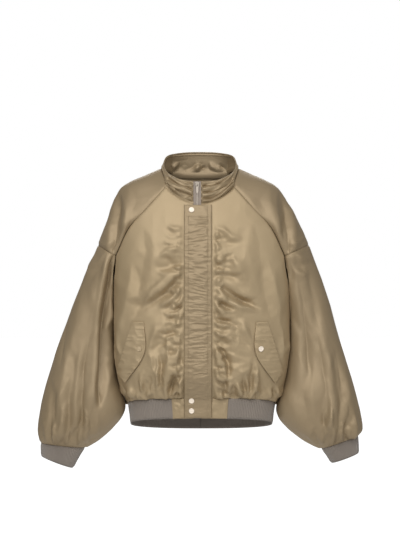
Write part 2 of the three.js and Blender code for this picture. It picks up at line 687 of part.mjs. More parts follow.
// The hem: a tab of the shell cloth each side of the zip, and one rib from tab to tab round the back.
function addHem() {
  const level = (i) => bodyLevels[1].height - (ribHeight * i) / hemRows;
  const hemRow = (side, face, i) =>
    bodyColumns(side, face).map((column) => {
      const turn = column.edgeX ? turnAt(side, column.edgeX, face, level(i)) : column.hemTurn;
      return bodyPoint(side, face, turn, level(i));
    });
  const rows = (make) => Array.from({ length: hemRows + 1 }, (_, i) => make(i));
  for (const [name, side] of Object.entries(sides))
    addWall(
      `hem_tab_${name}`,
      satin,
      shellCloth,
      rows((i) => hemRow(side, faces.front, i).slice(0, neckSteps + 1)),
      bodyAxis,
    );
  const rib = rows((i) => [
    ...hemRow(sides.right, faces.front, i).slice(neckSteps),
    ...hemRow(sides.right, faces.back, i).reverse().slice(1),
    ...hemRow(sides.left, faces.back, i).slice(1),
    ...hemRow(sides.left, faces.front, i).slice(neckSteps).reverse().slice(1),
  ]);
  addWall("hem_rib", ribKnit, ribCloth, rib, bodyAxis);
}

// The outer surface of a wall straight in front of a place in front view.
function pointOn(wall, x, z) {
  let best = null;
  const { rows, normals } = wall;
  const test = (places) => {
    const [a, b, c] = places.map(([i, j]) => rows[i][j]);
    const area = (b.x - a.x) * (c.z - a.z) - (c.x - a.x) * (b.z - a.z);
    if (Math.abs(area) < 1e-6) return;
    const v = ((x - a.x) * (c.z - a.z) - (c.x - a.x) * (z - a.z)) / area;
    const w = ((b.x - a.x) * (z - a.z) - (x - a.x) * (b.z - a.z)) / area;
    const u = 1 - v - w;
    if (Math.min(u, v, w) < -1e-6) return;
    const weights = [u, v, w];
    const point = new THREE.Vector3();
    const normal = new THREE.Vector3();
    places.forEach(([i, j], n) => {
      point.addScaledVector(rows[i][j], weights[n]);
      normal.addScaledVector(normals[i][j], weights[n]);
    });
    if (!best || point.y < best.point.y) best = { point, normal: normal.normalize() };
  };
  eachQuad(wall, (i, j, k) => {
    test([[i, j], [i, k], [i + 1, k]]);
    test([[i, j], [i + 1, k], [i + 1, j]]);
  });
  return best;
}

function frontmost(names, x, z) {
  const found = names.map((name) => pointOn(walls.get(name), x, z)).filter(Boolean);
  return found.sort((a, b) => a.point.y - b.point.y)[0];
}

// The zip fills the way between the two fronts' edges, from the hem to the collar's free edge.
function addZip() {
  const edgeOf = (name, column) => {
    const wall = walls.get(name);
    const j = column < 0 ? wall.rows[0].length - 1 : column;
    return wall.rows.map((row, i) => ({ point: row[j], normal: wall.normals[i][j] }));
  };
  const line = (sideName, collarColumn) => [
    ...edgeOf(`hem_tab_${sideName}`, 0).reverse().slice(0, -1),
    ...edgeOf(`front_${sideName}`, 0).slice(0, -1),
    ...edgeOf("collar", collarColumn),
  ];
  const right = line("right", 0);
  const left = line("left", -1);
  const section = [
    { across: 0, depth: -0.9 },
    { across: 0.36, depth: -0.9 },
    { across: 0.39, depth: 0.3 },
    { across: 0.61, depth: 0.3 },
    { across: 0.64, depth: -0.9 },
    { across: 1, depth: -0.9 },
  ];
  const rows = right.map((edge, i) =>
    section.map(({ across, depth }) => {
      const normal = edge.normal.clone().add(left[i].normal).normalize();
      return edge.point.clone().lerp(left[i].point, across).addScaledVector(normal, depth);
    }),
  );
  addWall("zip", zipTapeCloth, 1, rows, (point) => new THREE.Vector3(0, 0, point.z), { apart: true });
}

const withinPlacket = (x) => Math.min(placket.toX, Math.max(placket.fromX, x));
const nearSnap = (x, z) =>
  Math.min(...snapPlaces.map((snap) => Math.hypot(x - snap.x, z - snap.z)));

// The storm flap over the zip, sewn down at the wearer's left edge and snapped at the right one.
function addPlacket() {
  const below = ["front_right", "front_left", "hem_tab_right", "hem_tab_left", "zip"];
  const probe = 6;
  const rows = Array.from({ length: placketRows + 1 }, (_, i) => {
    const z = mix(placket.bottom, placket.top, i / placketRows);
    return Array.from({ length: placketColumns + 1 }, (_, j) => {
      const across = j / placketColumns;
      const x = mix(placket.fromX, placket.toX, across);
      const probes = [0, -probe, probe]
        .map((shift) => frontmost(below, withinPlacket(x + shift), z))
        .filter(Boolean);
      const y = Math.min(...probes.map((found) => found.point.y));
      const uneven = Math.sin(i * placketPuckers.step + j * 0.9) * Math.sin(i * 0.37 + 1);
      const pucker = Math.abs(uneven) * placketPuckers.depth * Math.sin(Math.PI * across) ** 0.5;
      const flat = smooth(flatRoundSnap * 0.6, flatRoundSnap * 1.5, nearSnap(x, z));
      return new THREE.Vector3(x, y - placketCloth - 1.1 - pucker * flat, z);
    });
  });
  addWall("placket", satin, placketCloth, rows, bodyAxis, { apart: true });
}

// A pocket flap lies on its front, a little off it.
function addPocketFlaps() {
  for (const [name, side] of Object.entries(sides)) {
    const rows = Array.from({ length: flapRows + 1 }, (_, i) => {
      const along = i / flapRows;
      const edge = (column) => read(flapEdges, "along", along, column);
      return Array.from({ length: flapColumns + 1 }, (_, j) => {
        const across = j / flapColumns;
        const x = side * mix(edge("innerX"), edge("outerX"), across);
        const z = mix(edge("innerZ"), edge("outerZ"), across);
        const { point, normal } = pointOn(walls.get(`front_${name}`), x, z);
        return point.addScaledVector(normal, flapCloth + 0.35 + 2.4 * smooth(0, 0.4, along));
      });
    });
    addWall(`pocket_flap_${name}`, satin, flapCloth, rows, bodyAxis, { apart: true });
  }
}

const jacket = new THREE.Group();

function addMesh(name, geometry, material) {
  const mesh = new THREE.Mesh(geometry, material);
  mesh.name = name;
  jacket.add(mesh);
  return mesh;
}

// A snap's cap, with a low ring round a dimple.
function addSnaps() {
  // Each point's radius and height
  const profile = [
    [0, 0],
    [snapRadius * 0.94, 0],
    [snapRadius, snapHeight * 0.35],
    [snapRadius * 0.82, snapHeight * 0.9],
    [snapRadius * 0.55, snapHeight],
    [snapRadius * 0.3, snapHeight * 0.75],
    [0, snapHeight * 0.7],
  ].map(([r, y]) => new THREE.Vector2(r, y));
  for (const { name, on, x, z } of snapPlaces) {
    const geometry = new THREE.LatheGeometry(profile, 12);
    const cap = addMesh(name, geometry, snapMetal);
    const { point, normal } = pointOn(walls.get(on), x, z);
    cap.quaternion.setFromUnitVectors(new THREE.Vector3(0, 1, 0), normal);
    cap.position.copy(point).addScaledVector(normal, 0.6);
  }
}

// The zip's slider carries a low bridge, and the pull tab's top bar turns under it.
const slider = { width: 10, length: 12, thick: 3, rest: 0.4 };
const bridge = { width: 2.4, arm: 1.5, tunnel: 3, reach: 1.6 };
const pull = { width: 7, length: 25, thick: 1.4, rim: 1.6, eye: 6.5, rest: 0.9 };
const pullPivot = { x: -7.5, z: -22 };

// A flat shape drawn in the side view, as wide as it is told to be and centred on the zip.
function sideExtrusion(points, hole, width) {
  const shape = new THREE.Shape(points.map(([y, z]) => new THREE.Vector2(y, z)));
  if (hole) shape.holes.push(new THREE.Path(hole.map(([y, z]) => new THREE.Vector2(y, z))));
  const solid = new THREE.ExtrudeGeometry(shape, { depth: width, bevelEnabled: false });
  solid.rotateX(quarterTurn).rotateZ(quarterTurn);
  solid.translate(-width / 2, 0, 0);
  return solid;
}

function toSolid(geometry) {
  const bare = new THREE.BufferGeometry();
  bare.setAttribute("position", geometry.getAttribute("position"));
  const merged = mergeVertices(bare, 1e-3);
  const mesh = new Mesh({
    numProp: 3,
    vertProperties: new Float32Array(merged.getAttribute("position").array),
    triVerts: new Uint32Array(merged.index.array),
  });
  return new Manifold(mesh);
}

function toGeometry(solid) {
  const { vertProperties, triVerts } = solid.getMesh();
  const geometry = new THREE.BufferGeometry();
  geometry.setAttribute("position", new THREE.Float32BufferAttribute(vertProperties, 3));
  geometry.setIndex(new THREE.BufferAttribute(new Uint32Array(triVerts), 1));
  geometry.computeVertexNormals();
  return geometry;
}

// The slider and its bridge in one piece. Its face is at y = 0 and its front is towards -Y.
function addSlider() {
  const faceY = Math.min(
    ...[-7, 0, 7].map((dz) => pointOn(walls.get("zip"), pullPivot.x, pullPivot.z + dz).point.y),
  );
  const half = slider.length / 2;
  const plate = sideExtrusion(
    [[0, -half], [0, half], [-slider.thick, half - 1], [-slider.thick, 1 - half]],
    null,
    slider.width,
  );
  const far = -slider.thick - bridge.tunnel - bridge.reach;
  const inside = bridge.tunnel / 2;
  const outer = inside + bridge.arm;
  const arch = sideExtrusion(
    [[-slider.thick + 1, -outer], [-slider.thick + 1, outer], [far, outer - 0.8], [far, 0.8 - outer]],
    [
      [-slider.thick - 0.3, -inside],
      [far + bridge.reach, -inside],
      [far + bridge.reach, inside],
      [-slider.thick - 0.3, inside],
    ],
    bridge.width,
  );
  const whole = toGeometry(toSolid(plate).add(toSolid(arch)));
  const y = faceY - slider.rest;
  whole.translate(pullPivot.x, y, pullPivot.z);
  addMesh("zip_slider", whole, zipMetal);
  return y - slider.thick - bridge.tunnel / 2;
}

// The pull tab, hanging from its top bar, with an eye that the bridge passes through.
function addPull(pivotY) {
  const half = pull.width / 2;
  const lean = Math.max(
    ...[0.3, 0.5, 0.7, 0.85, 1].map((share) => {
      const down = pull.length * share;
      const zipY = pointOn(walls.get("zip"), pullPivot.x, pullPivot.z - down).point.y;
      return Math.asin((pivotY + pull.thick / 2 + pull.rest - zipY) / down);
    }),
  );
  const shape = new THREE.Shape();
  shape.moveTo(-half, pull.thick / 2);
  shape.lineTo(-half + 0.8, 1 - pull.length);
  shape.quadraticCurveTo(-half + 1, -pull.length, -half + 2.2, -pull.length);
  shape.lineTo(half - 2.2, -pull.length);
  shape.quadraticCurveTo(half - 1, -pull.length, half - 0.8, 1 - pull.length);
  shape.lineTo(half, pull.thick / 2);
  const eye = new THREE.Path();
  const inner = half - pull.rim;
  eye.moveTo(-inner, -pull.thick / 2);
  eye.lineTo(inner, -pull.thick / 2);
  eye.lineTo(inner, -pull.eye);
  eye.lineTo(-inner, -pull.eye);
  shape.holes.push(eye);
  const tab = new THREE.ExtrudeGeometry(shape, { depth: pull.thick, bevelEnabled: false, curveSegments: 4 });
  tab.translate(0, 0, -pull.thick / 2).rotateX(quarterTurn - lean);
  tab.translate(pullPivot.x, pivotY, pullPivot.z);
  addMesh("zip_pull", tab, zipMetal);
}

addShell();
addHem();
foldWalls();
addZip();
findNormals();
addPlacket();
addPocketFlaps();
findNormals();
for (const wall of walls.values()) addMesh(wall.name, wallGeometry(wall), wall.material);
addSnaps();
addPull(addSlider());

export default jacket;
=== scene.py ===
import math
import random

import bmesh
import bpy
import numpy as np
from mathutils import Matrix, Vector, kdtree
from mathutils.bvhtree import BVHTree


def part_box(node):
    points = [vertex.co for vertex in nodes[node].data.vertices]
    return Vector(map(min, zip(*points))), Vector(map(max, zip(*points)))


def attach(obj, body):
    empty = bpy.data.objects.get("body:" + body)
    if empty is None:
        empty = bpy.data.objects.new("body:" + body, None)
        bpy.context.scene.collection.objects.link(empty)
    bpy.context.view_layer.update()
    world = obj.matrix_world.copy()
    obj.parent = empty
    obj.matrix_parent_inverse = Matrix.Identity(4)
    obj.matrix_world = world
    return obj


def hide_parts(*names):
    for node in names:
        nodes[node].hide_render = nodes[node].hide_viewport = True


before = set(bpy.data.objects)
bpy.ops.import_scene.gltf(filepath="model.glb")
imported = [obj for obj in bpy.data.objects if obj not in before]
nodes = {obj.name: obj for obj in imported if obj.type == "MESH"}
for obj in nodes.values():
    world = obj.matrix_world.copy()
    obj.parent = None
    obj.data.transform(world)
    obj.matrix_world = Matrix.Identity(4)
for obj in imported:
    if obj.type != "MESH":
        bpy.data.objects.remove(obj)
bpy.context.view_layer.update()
scene = bpy.context.scene
rootBody = "jacket"
mm = 0.001

# Right and left are the wearer's. The wearer's right is at -x, and the front faces -y.

look = {
    "satin": "AF9B7B",
    "satinShade": "A28E6E",
    # The next two colours are the satin painted darker, as painted shade for the back, yokes, sleeves, collar
    # and placket
    "satinPaintedShade": "A08D70",
    "satinPaintedShadeDrift": "948164",
    "rib": "8B8177",
    "snap": "F4E6D4",
    "zipTape": "8F8378",
    "zipTeeth": "988F84",
    "thread": "A08D6B",
    "subdivisions": 3,
    "foldDepth": 2.4,
    "crumple": 2.1,
}


def linear(hexColour):
    channels = [int(hexColour[i : i + 2], 16) / 255 for i in (0, 2, 4)]
    return [c / 12.92 if c <= 0.04045 else ((c + 0.055) / 1.055) ** 2.4 for c in channels] + [1.0]


def newMaterial(name, colour, roughness, metallic=0.0, sheen=0.0):
    material = bpy.data.materials.new(name)
    material.use_nodes = True
    surface = material.node_tree.nodes["Principled BSDF"]
    surface.inputs["Base Color"].default_value = linear(colour)
    surface.inputs["Roughness"].default_value = roughness
    surface.inputs["Metallic"].default_value = metallic
    surface.inputs["Sheen Weight"].default_value = sheen
    surface.inputs["Sheen Roughness"].default_value = 0.35
    return material, material.node_tree, surface


def addBump(tree, surface, height, strength, distance):
    bump = tree.nodes.new("ShaderNodeBump")
    bump.inputs["Strength"].default_value = strength
    bump.inputs["Distance"].default_value = distance
    tree.links.new(height, bump.inputs["Height"])
    tree.links.new(bump.outputs["Normal"], surface.inputs["Normal"])


def objectNoise(tree, scale, detail, kind="FBM"):
    place = tree.nodes.new("ShaderNodeTexCoord")
    noise = tree.nodes.new("ShaderNodeTexNoise")
    noise.noise_type = kind
    noise.inputs["Scale"].default_value = scale
    noise.inputs["Detail"].default_value = detail
    tree.links.new(place.outputs["Object"], noise.inputs["Vector"])
    return noise.outputs["Fac"]


# Nylon satin gives a soft broad gleam that breaks on every fold, and a tone that drifts a little.
satinLook = {
    "roughness": 0.55,
    "metallic": 0.36,
    "sheen": 0.05,
    "sheenTint": "D8C6A2",
    "specular": 0.42,
    "toneScale": 7.0,
    "toneDetail": 3.0,
    "creaseScale": 16.0,  # shallow creases of thin nylon, 20 to 60 mm apart
    "creaseDetail": 4.0,
    "creaseStrength": 0.7,
    "creaseDepth": 0.0025,
}


def satinMaterial(name, colour, shade):
    material, tree, surface = newMaterial(
        name, colour, satinLook["roughness"], satinLook["metallic"], satinLook["sheen"]
    )
    surface.inputs["Specular IOR Level"].default_value = satinLook["specular"]
    surface.inputs["Sheen Tint"].default_value = linear(satinLook["sheenTint"])
    tone = tree.nodes.new("ShaderNodeMix")
    tone.data_type = "RGBA"
    tone.inputs["A"].default_value = linear(shade)
    tone.inputs["B"].default_value = linear(colour)
    tree.links.new(objectNoise(tree, satinLook["toneScale"], satinLook["toneDetail"]), tone.inputs["Factor"])
    tree.links.new(tone.outputs["Result"], surface.inputs["Base Color"])
    creases = objectNoise(tree, satinLook["creaseScale"], satinLook["creaseDetail"], "RIDGED_MULTIFRACTAL")
    addBump(tree, surface, creases, satinLook["creaseStrength"], satinLook["creaseDepth"])
    return material


# Rib knit gives fine upright wales and a matt, woolly edge beside the satin. Lengths are metres.
ribLook = {"roughness": 0.95, "sheen": 0.25, "waleStep": 0.0042, "strength": 0.8, "depth": 0.0008}


def ribMaterial():
    material, tree, surface = newMaterial(
        "rib_knit", look["rib"], ribLook["roughness"], sheen=ribLook["sheen"]
    )
    along = tree.nodes.new("ShaderNodeAttribute")
    along.attribute_name = "along"
    turns = tree.nodes.new("ShaderNodeMath")
    turns.operation = "MULTIPLY"
    turns.inputs[1].default_value = 2 * math.pi / ribLook["waleStep"]
    wave = tree.nodes.new("ShaderNodeMath")
    wave.operation = "SINE"
    tree.links.new(along.outputs["Fac"], turns.inputs[0])
    tree.links.new(turns.outputs["Value"], wave.inputs[0])
    addBump(tree, surface, wave.outputs["Value"], ribLook["strength"], ribLook["depth"])
    return material


# The fronts' satin is the lightest. The other pieces have the same cloth painted a shade darker: painted
# shade for the light they miss, not a different grain.
satin = satinMaterial("nylon_satin", look["satin"], look["satinShade"])
satinPaintedShade = satinMaterial("nylon_satin_painted_shade", look["satinPaintedShade"], look["satinPaintedShadeDrift"])
rib = ribMaterial()
# Cream enamel gives the caps a clean light dot with a small highlight
snapEnamel = newMaterial("snap_enamel", look["snap"], 0.35)[0]
# A cap covered in the jacket's satin is nearly lost against its flap
snapCovered = newMaterial("covered_snap_satin", look["satin"], 0.45, metallic=0.2)[0]
# The tape is a matt, greyer band behind the teeth
tapeCloth = newMaterial("zip_tape_cloth", look["zipTape"], 0.8)[0]
# Worn metal glints on each tooth, the slider and the pull
zipMetal = newMaterial("zip_metal", look["zipTeeth"], 0.42, metallic=1.0)[0]
# Thread draws a fine broken line beside the seams
threadCotton = newMaterial("sewing_thread", look["thread"], 0.6)[0]
print("materials made")

# The cloth walls of the frame: thickness in millimetres, the flat cut in metres. A wall is satin unless
# its row says otherwise, and a rectangle unless its row has an area in square metres.
cloth = {
    "front_right": {"thick": 2.0, "flat": (0.31, 0.64), "area": 0.165, "held": "hung"},
    "front_left": {"thick": 2.0, "flat": (0.33, 0.64), "area": 0.175, "held": "hung"},
    "back": {"thick": 2.0, "flat": (0.66, 0.68), "area": 0.37, "held": "hung"},
    "yoke_right": {"thick": 2.0, "flat": (0.3, 0.3), "area": 0.062, "held": "hung"},
    "yoke_left": {"thick": 2.0, "flat": (0.3, 0.3), "area": 0.062, "held": "hung"},
    "sleeve_right": {"thick": 2.0, "flat": (0.62, 0.56), "area": 0.27, "held": "gathered"},
    "sleeve_left": {"thick": 2.0, "flat": (0.62, 0.56), "area": 0.27, "held": "gathered"},
    "collar": {"thick": 3.0, "flat": (0.60, 0.07), "area": 0.036, "held": "gathered"},
    "placket": {"thick": 2.4, "flat": (0.08, 0.64), "area": 0.05, "held": "gathered"},
    "hem_tab_right": {"thick": 2.0, "flat": (0.062, 0.057), "held": "hung"},
    "hem_tab_left": {"thick": 2.0, "flat": (0.077, 0.057), "held": "hung"},
    "pocket_flap_right": {"thick": 2.0, "flat": (0.09, 0.17), "area": 0.0075, "held": "hung"},
    "pocket_flap_left": {"thick": 2.0, "flat": (0.09, 0.17), "area": 0.0075, "held": "hung"},
    "hem_rib": {"thick": 3.0, "flat": (0.93, 0.057), "held": "stretched", "slot": "rib_knit"},
    "cuff_right": {"thick": 3.0, "flat": (0.24, 0.06), "held": "stretched", "slot": "rib_knit"},
    "cuff_left": {"thick": 3.0, "flat": (0.24, 0.06), "held": "stretched", "slot": "rib_knit"},
}


def sideSign(side):
    return 1 if side == "left" else -1


def treeOf(places):
    tree = kdtree.KDTree(len(places))
    for index, place in enumerate(places):
        tree.insert(place, index)
    tree.balance()
    return tree


def facesMiddle(vertex):
    return sum((f.calc_center_median() for f in vertex.link_faces), Vector()) / len(vertex.link_faces)


# A point well inside what a piece covers. The outer layer of cloth faces away from it.
def insideOf(name, place):
    side = -1 if name.endswith("right") else 1
    if name.startswith("yoke"):
        return Vector((side * 0.2, 0, -0.2))
    if name.startswith(("sleeve", "cuff")):
        down = min(1, max(0, (-0.15 - place.z) / 0.6))
        return Vector((side * (0.265 + 0.12 * down), -0.008, place.z))
    return Vector((place.x * 0.5, 0, place.z))


def islandsOf(form):
    left = set(form.faces)
    found = []
    while left:
        island = [left.pop()]
        for face in island:
            for edge in face.edges:
                for other in edge.link_faces:
                    if other in left:
                        left.discard(other)
                        island.append(other)
        found.append(island)
    return found


def outwardness(name, island):
    total = 0.0
    for face in island:
        middle = face.calc_center_median()
        total += face.calc_area() * face.normal.dot(middle - insideOf(name, middle))
    return total


# The lattice of triangles has three families of lines. The cells' diagonals are one of them.
def diagonalsFrom(seed, guess):
    marked = {seed: guess}
    queue = [seed]
    for face in queue:
        diagonal = marked[face]
        for edge in face.edges:
            for other in edge.link_faces:
                if other == face:
                    continue
                if edge == diagonal:
                    found = edge
                else:
                    touched = next(v for v in edge.verts if v in diagonal.verts)
                    far = edge.other_vert(touched)
                    found = next(e for e in other.edges if e != edge and far in e.verts)
                if other not in marked:
                    marked[other] = found
                    queue.append(other)
                elif marked[other] != found:
                    return None
    lines = set(marked.values())
    return None if any(e.is_boundary for e in lines) else lines


# The narrow faces along the edges of the cloth, which join its outer sheet to its inner one. The edges
# that run through the cloth are as long as it is thick, and they stand in a row.
def rimFaces(form, thickness):
    through = {edge for edge in form.edges if abs(edge.calc_length() - thickness) < 3e-5}
    inRow = set()
    for edge in through:
        beside = [
            [other for side in face.edges if side != edge for near in side.link_faces for other in near.edges]
            for face in edge.link_faces
        ]
        if all(any(other in through and other != edge for other in others) for others in beside):
            inRow.add(edge)
    return [face for face in form.faces if any(edge in inRow for edge in face.edges)]


# The outer sheet of a cloth wall, with its triangles joined back into four-sided cells
def outerLayer(name):
    thickness = cloth[name]["thick"] * mm
    form = bmesh.new()
    form.from_mesh(nodes[name].data)
    bmesh.ops.remove_doubles(form, verts=form.verts[:], dist=2e-5)
    bmesh.ops.delete(form, geom=rimFaces(form, thickness), context="FACES_ONLY")
    islands = islandsOf(form)
    outer = max(islands, key=lambda island: outwardness(name, island))
    rest = [face for island in islands if island is not outer for face in island]
    bmesh.ops.delete(form, geom=rest, context="FACES")
    loose = [e for e in form.edges if not e.link_faces]
    bmesh.ops.delete(form, geom=loose, context="EDGES")
    bmesh.ops.delete(form, geom=[v for v in form.verts if not v.link_faces], context="VERTS")
    form.faces.ensure_lookup_table()
    seed = next((f for f in form.faces if not any(e.is_boundary for e in f.edges)), form.faces[0])
    choices = [diagonalsFrom(seed, edge) for edge in seed.edges]
    choices = [lines for lines in choices if lines]
    if choices:
        best = max(choices, key=lambda lines: sum(e.calc_length() for e in lines))
        form.edges.index_update()
        inOrder = sorted(best, key=lambda edge: edge.index)  # the same order in every run
        bmesh.ops.dissolve_edges(form, edges=inOrder, use_verts=False, use_face_split=False)
    else:
        bmesh.ops.join_triangles(
            form, faces=form.faces[:], angle_face_threshold=3.1, angle_shape_threshold=3.1
        )
    print(name, "layers", len(islands), "cells", len(form.faces), "choices", len(choices))
    return form


layers = {name: outerLayer(name) for name in cloth}
cornerTree = treeOf(
    [vertex.co.copy() for form in layers.values() for vertex in form.verts if len(vertex.link_faces) == 1]
)


def newObject(name, form, material):
    mesh = bpy.data.meshes.new(name)
    form.to_mesh(mesh)
    form.free()
    piece = bpy.data.objects.new(name, mesh)
    scene.collection.objects.link(piece)
    mesh.materials.append(material)
    return piece


def selectOnly(piece):
    bpy.ops.object.select_all(action="DESELECT")
    piece.select_set(True)
    bpy.context.view_layer.objects.active = piece


def applyModifier(piece, kind, **settings):
    selectOnly(piece)
    modifier = piece.modifiers.new(kind.lower(), kind)
    for key, value in settings.items():
        setattr(modifier, key, value)
    bpy.ops.object.modifier_apply(modifier=modifier.name)


def smoothPiece(name, material, levels):
    form = layers[name]
    crease = form.verts.layers.float.new("crease_vert")
    for vertex in form.verts:
        onEdge = any(e.is_boundary for e in vertex.link_edges)
        if onEdge and cornerTree.find(vertex.co)[2] < 0.0016:
            vertex[crease] = 1.0
    piece = newObject(name + "_cloth", form, material)
    applyModifier(
        piece, "SUBSURF", levels=levels, boundary_smooth="PRESERVE_CORNERS", use_limit_surface=False
    )
    return piece


def readPoints(mesh):
    flat = np.empty(len(mesh.vertices) * 3)
    mesh.vertices.foreach_get("co", flat)
    return flat.reshape(-1, 3)


def readNormals(mesh):
    flat = np.empty(len(mesh.vertices) * 3)
    mesh.vertex_normals.foreach_get("vector", flat)
    return flat.reshape(-1, 3)


def writePoints(mesh, places):
    mesh.vertices.foreach_set("co", places.reshape(-1))
    mesh.update()


def smoothstep(low, high, value):
    t = np.clip((value - low) / (high - low), 0, 1)
    return t * t * (3 - 2 * t)


# Soft random ground, from 0 to 1, for uneven cloth
latticeSide = 32
lattice = np.random.default_rng(7).random((latticeSide,) * 3)


def noiseAt(places, cell, shift=0.0):
    scaled = places / (np.asarray(cell) * mm) + shift
    base = np.floor(scaled).astype(int)
    part = scaled - base
    part = part * part * (3 - 2 * part)
    total = np.zeros(len(places))
    for dx in (0, 1):
        for dy in (0, 1):
            for dz in (0, 1):
                weight = (
                    (part[:, 0] if dx else 1 - part[:, 0])
                    * (part[:, 1] if dy else 1 - part[:, 1])
                    * (part[:, 2] if dz else 1 - part[:, 2])
                )
                x, y, z = ((base + (dx, dy, dz)) % latticeSide).T
                total += weight * lattice[x, y, z]
    return total


def ridgesAt(places, cell, shift=0.0):
    return 1 - np.abs(2 * noiseAt(places, cell, shift) - 1)


# How far each point is from the piece's own sewn edges, in metres
def edgeDistance(piece, places):
    form = bmesh.new()
    form.from_mesh(piece.data)
    tree = treeOf([v.co.copy() for v in form.verts if any(e.is_boundary for e in v.link_edges)])
    form.free()
    return np.array([tree.find(place)[2] for place in places])


# The places moved a little, so that the ground drawn from them slants or wanders
def shifted(places, x=0.0, z=0.0):
    moved = places.copy()
    moved[:, 0] += x
    moved[:, 2] += z
    return moved


# A fold is a ridge with a valley along its lower side, bowed sideways at its middle. Sizes are millimetres.
def foldHeights(places, rows):
    x = places[:, 0] / mm
    z = places[:, 2] / mm
    height = np.zeros(len(places))
    waver = 7 * (noiseAt(places, (28, 60, 28), 9.4) - 0.5) + 3 * (noiseAt(places, (11, 40, 11), 4.1) - 0.5)
    for fromX, fromZ, toX, toZ, bow, depth, width in rows:
        runX, runZ = toX - fromX, toZ - fromZ
        length = math.hypot(runX, runZ)
        alongX, alongZ = runX / length, runZ / length
        acrossX, acrossZ = -alongZ, alongX
        if acrossZ > 0:
            acrossX, acrossZ = -acrossX, -acrossZ
        t = ((x - fromX) * alongX + (z - fromZ) * alongZ) / length
        near = (t > -0.12) & (t < 1.12)
        inside = np.clip(t, 0, 1)
        away = (x - fromX - runX * t) * acrossX + (z - fromZ - runZ * t) * acrossZ
        away = away - bow * 4 * inside * (1 - inside) + waver
        wide = width * (0.6 + 0.8 * np.sin(math.pi * inside) ** 0.7)
        taper = 1.1 * np.sin(math.pi * np.clip((t + 0.08) / 1.16, 0, 1)) ** 1.2
        ridge = np.exp(-((np.abs(away) / wide) ** 1.5))
        valley = np.exp(-((np.abs(away - 1.5 * wide) / wide) ** 1.5))
        height += np.where(near, depth * taper * (ridge - 0.75 * valley), 0)
    return height * look["foldDepth"]


# A sharp crease along a line, with the cloth swelling beside it on the side away from the middle
def creaseHeights(places, lines, fadeStart=True, fadeEnd=True):
    x = places[:, 0] / mm
    z = places[:, 2] / mm
    height = np.zeros(len(places))
    waver = 3 * (noiseAt(places, (30, 90, 40), 1.4) - 0.5)
    for depth, width, line in lines:
        nearest = np.full(len(places), 1e9)
        signed = np.zeros(len(places))
        fade = np.ones(len(places))
        for part, ((fromX, fromZ), (toX, toZ)) in enumerate(zip(line, line[1:])):
            runX, runZ = toX - fromX, toZ - fromZ
            length = math.hypot(runX, runZ)
            t = ((x - fromX) * runX + (z - fromZ) * runZ) / length**2
            inside = np.clip(t, 0, 1)
            gap = np.hypot(x - fromX - runX * inside, z - fromZ - runZ * inside)
            closer = gap < nearest
            outward = (np.abs(x) - np.abs(fromX + runX * inside)) > 0
            signed = np.where(closer, np.where(outward, gap, -gap), signed)
            ends = np.ones(len(places))
            if part == 0 and fadeStart:
                ends = smoothstep(0, 1, inside)
            if part == len(line) - 2 and fadeEnd:
                ends = np.minimum(ends, smoothstep(1, 0.5, inside))
            fade = np.where(closer, ends, fade)
            nearest = np.where(closer, gap, nearest)
        signed = signed + waver
        valley = np.exp(-(np.abs(signed) / width))
        swell = np.exp(-(((signed - 2.6 * width) / (1.7 * width)) ** 2))
        height += depth * fade * (0.7 * swell - valley)
    return height


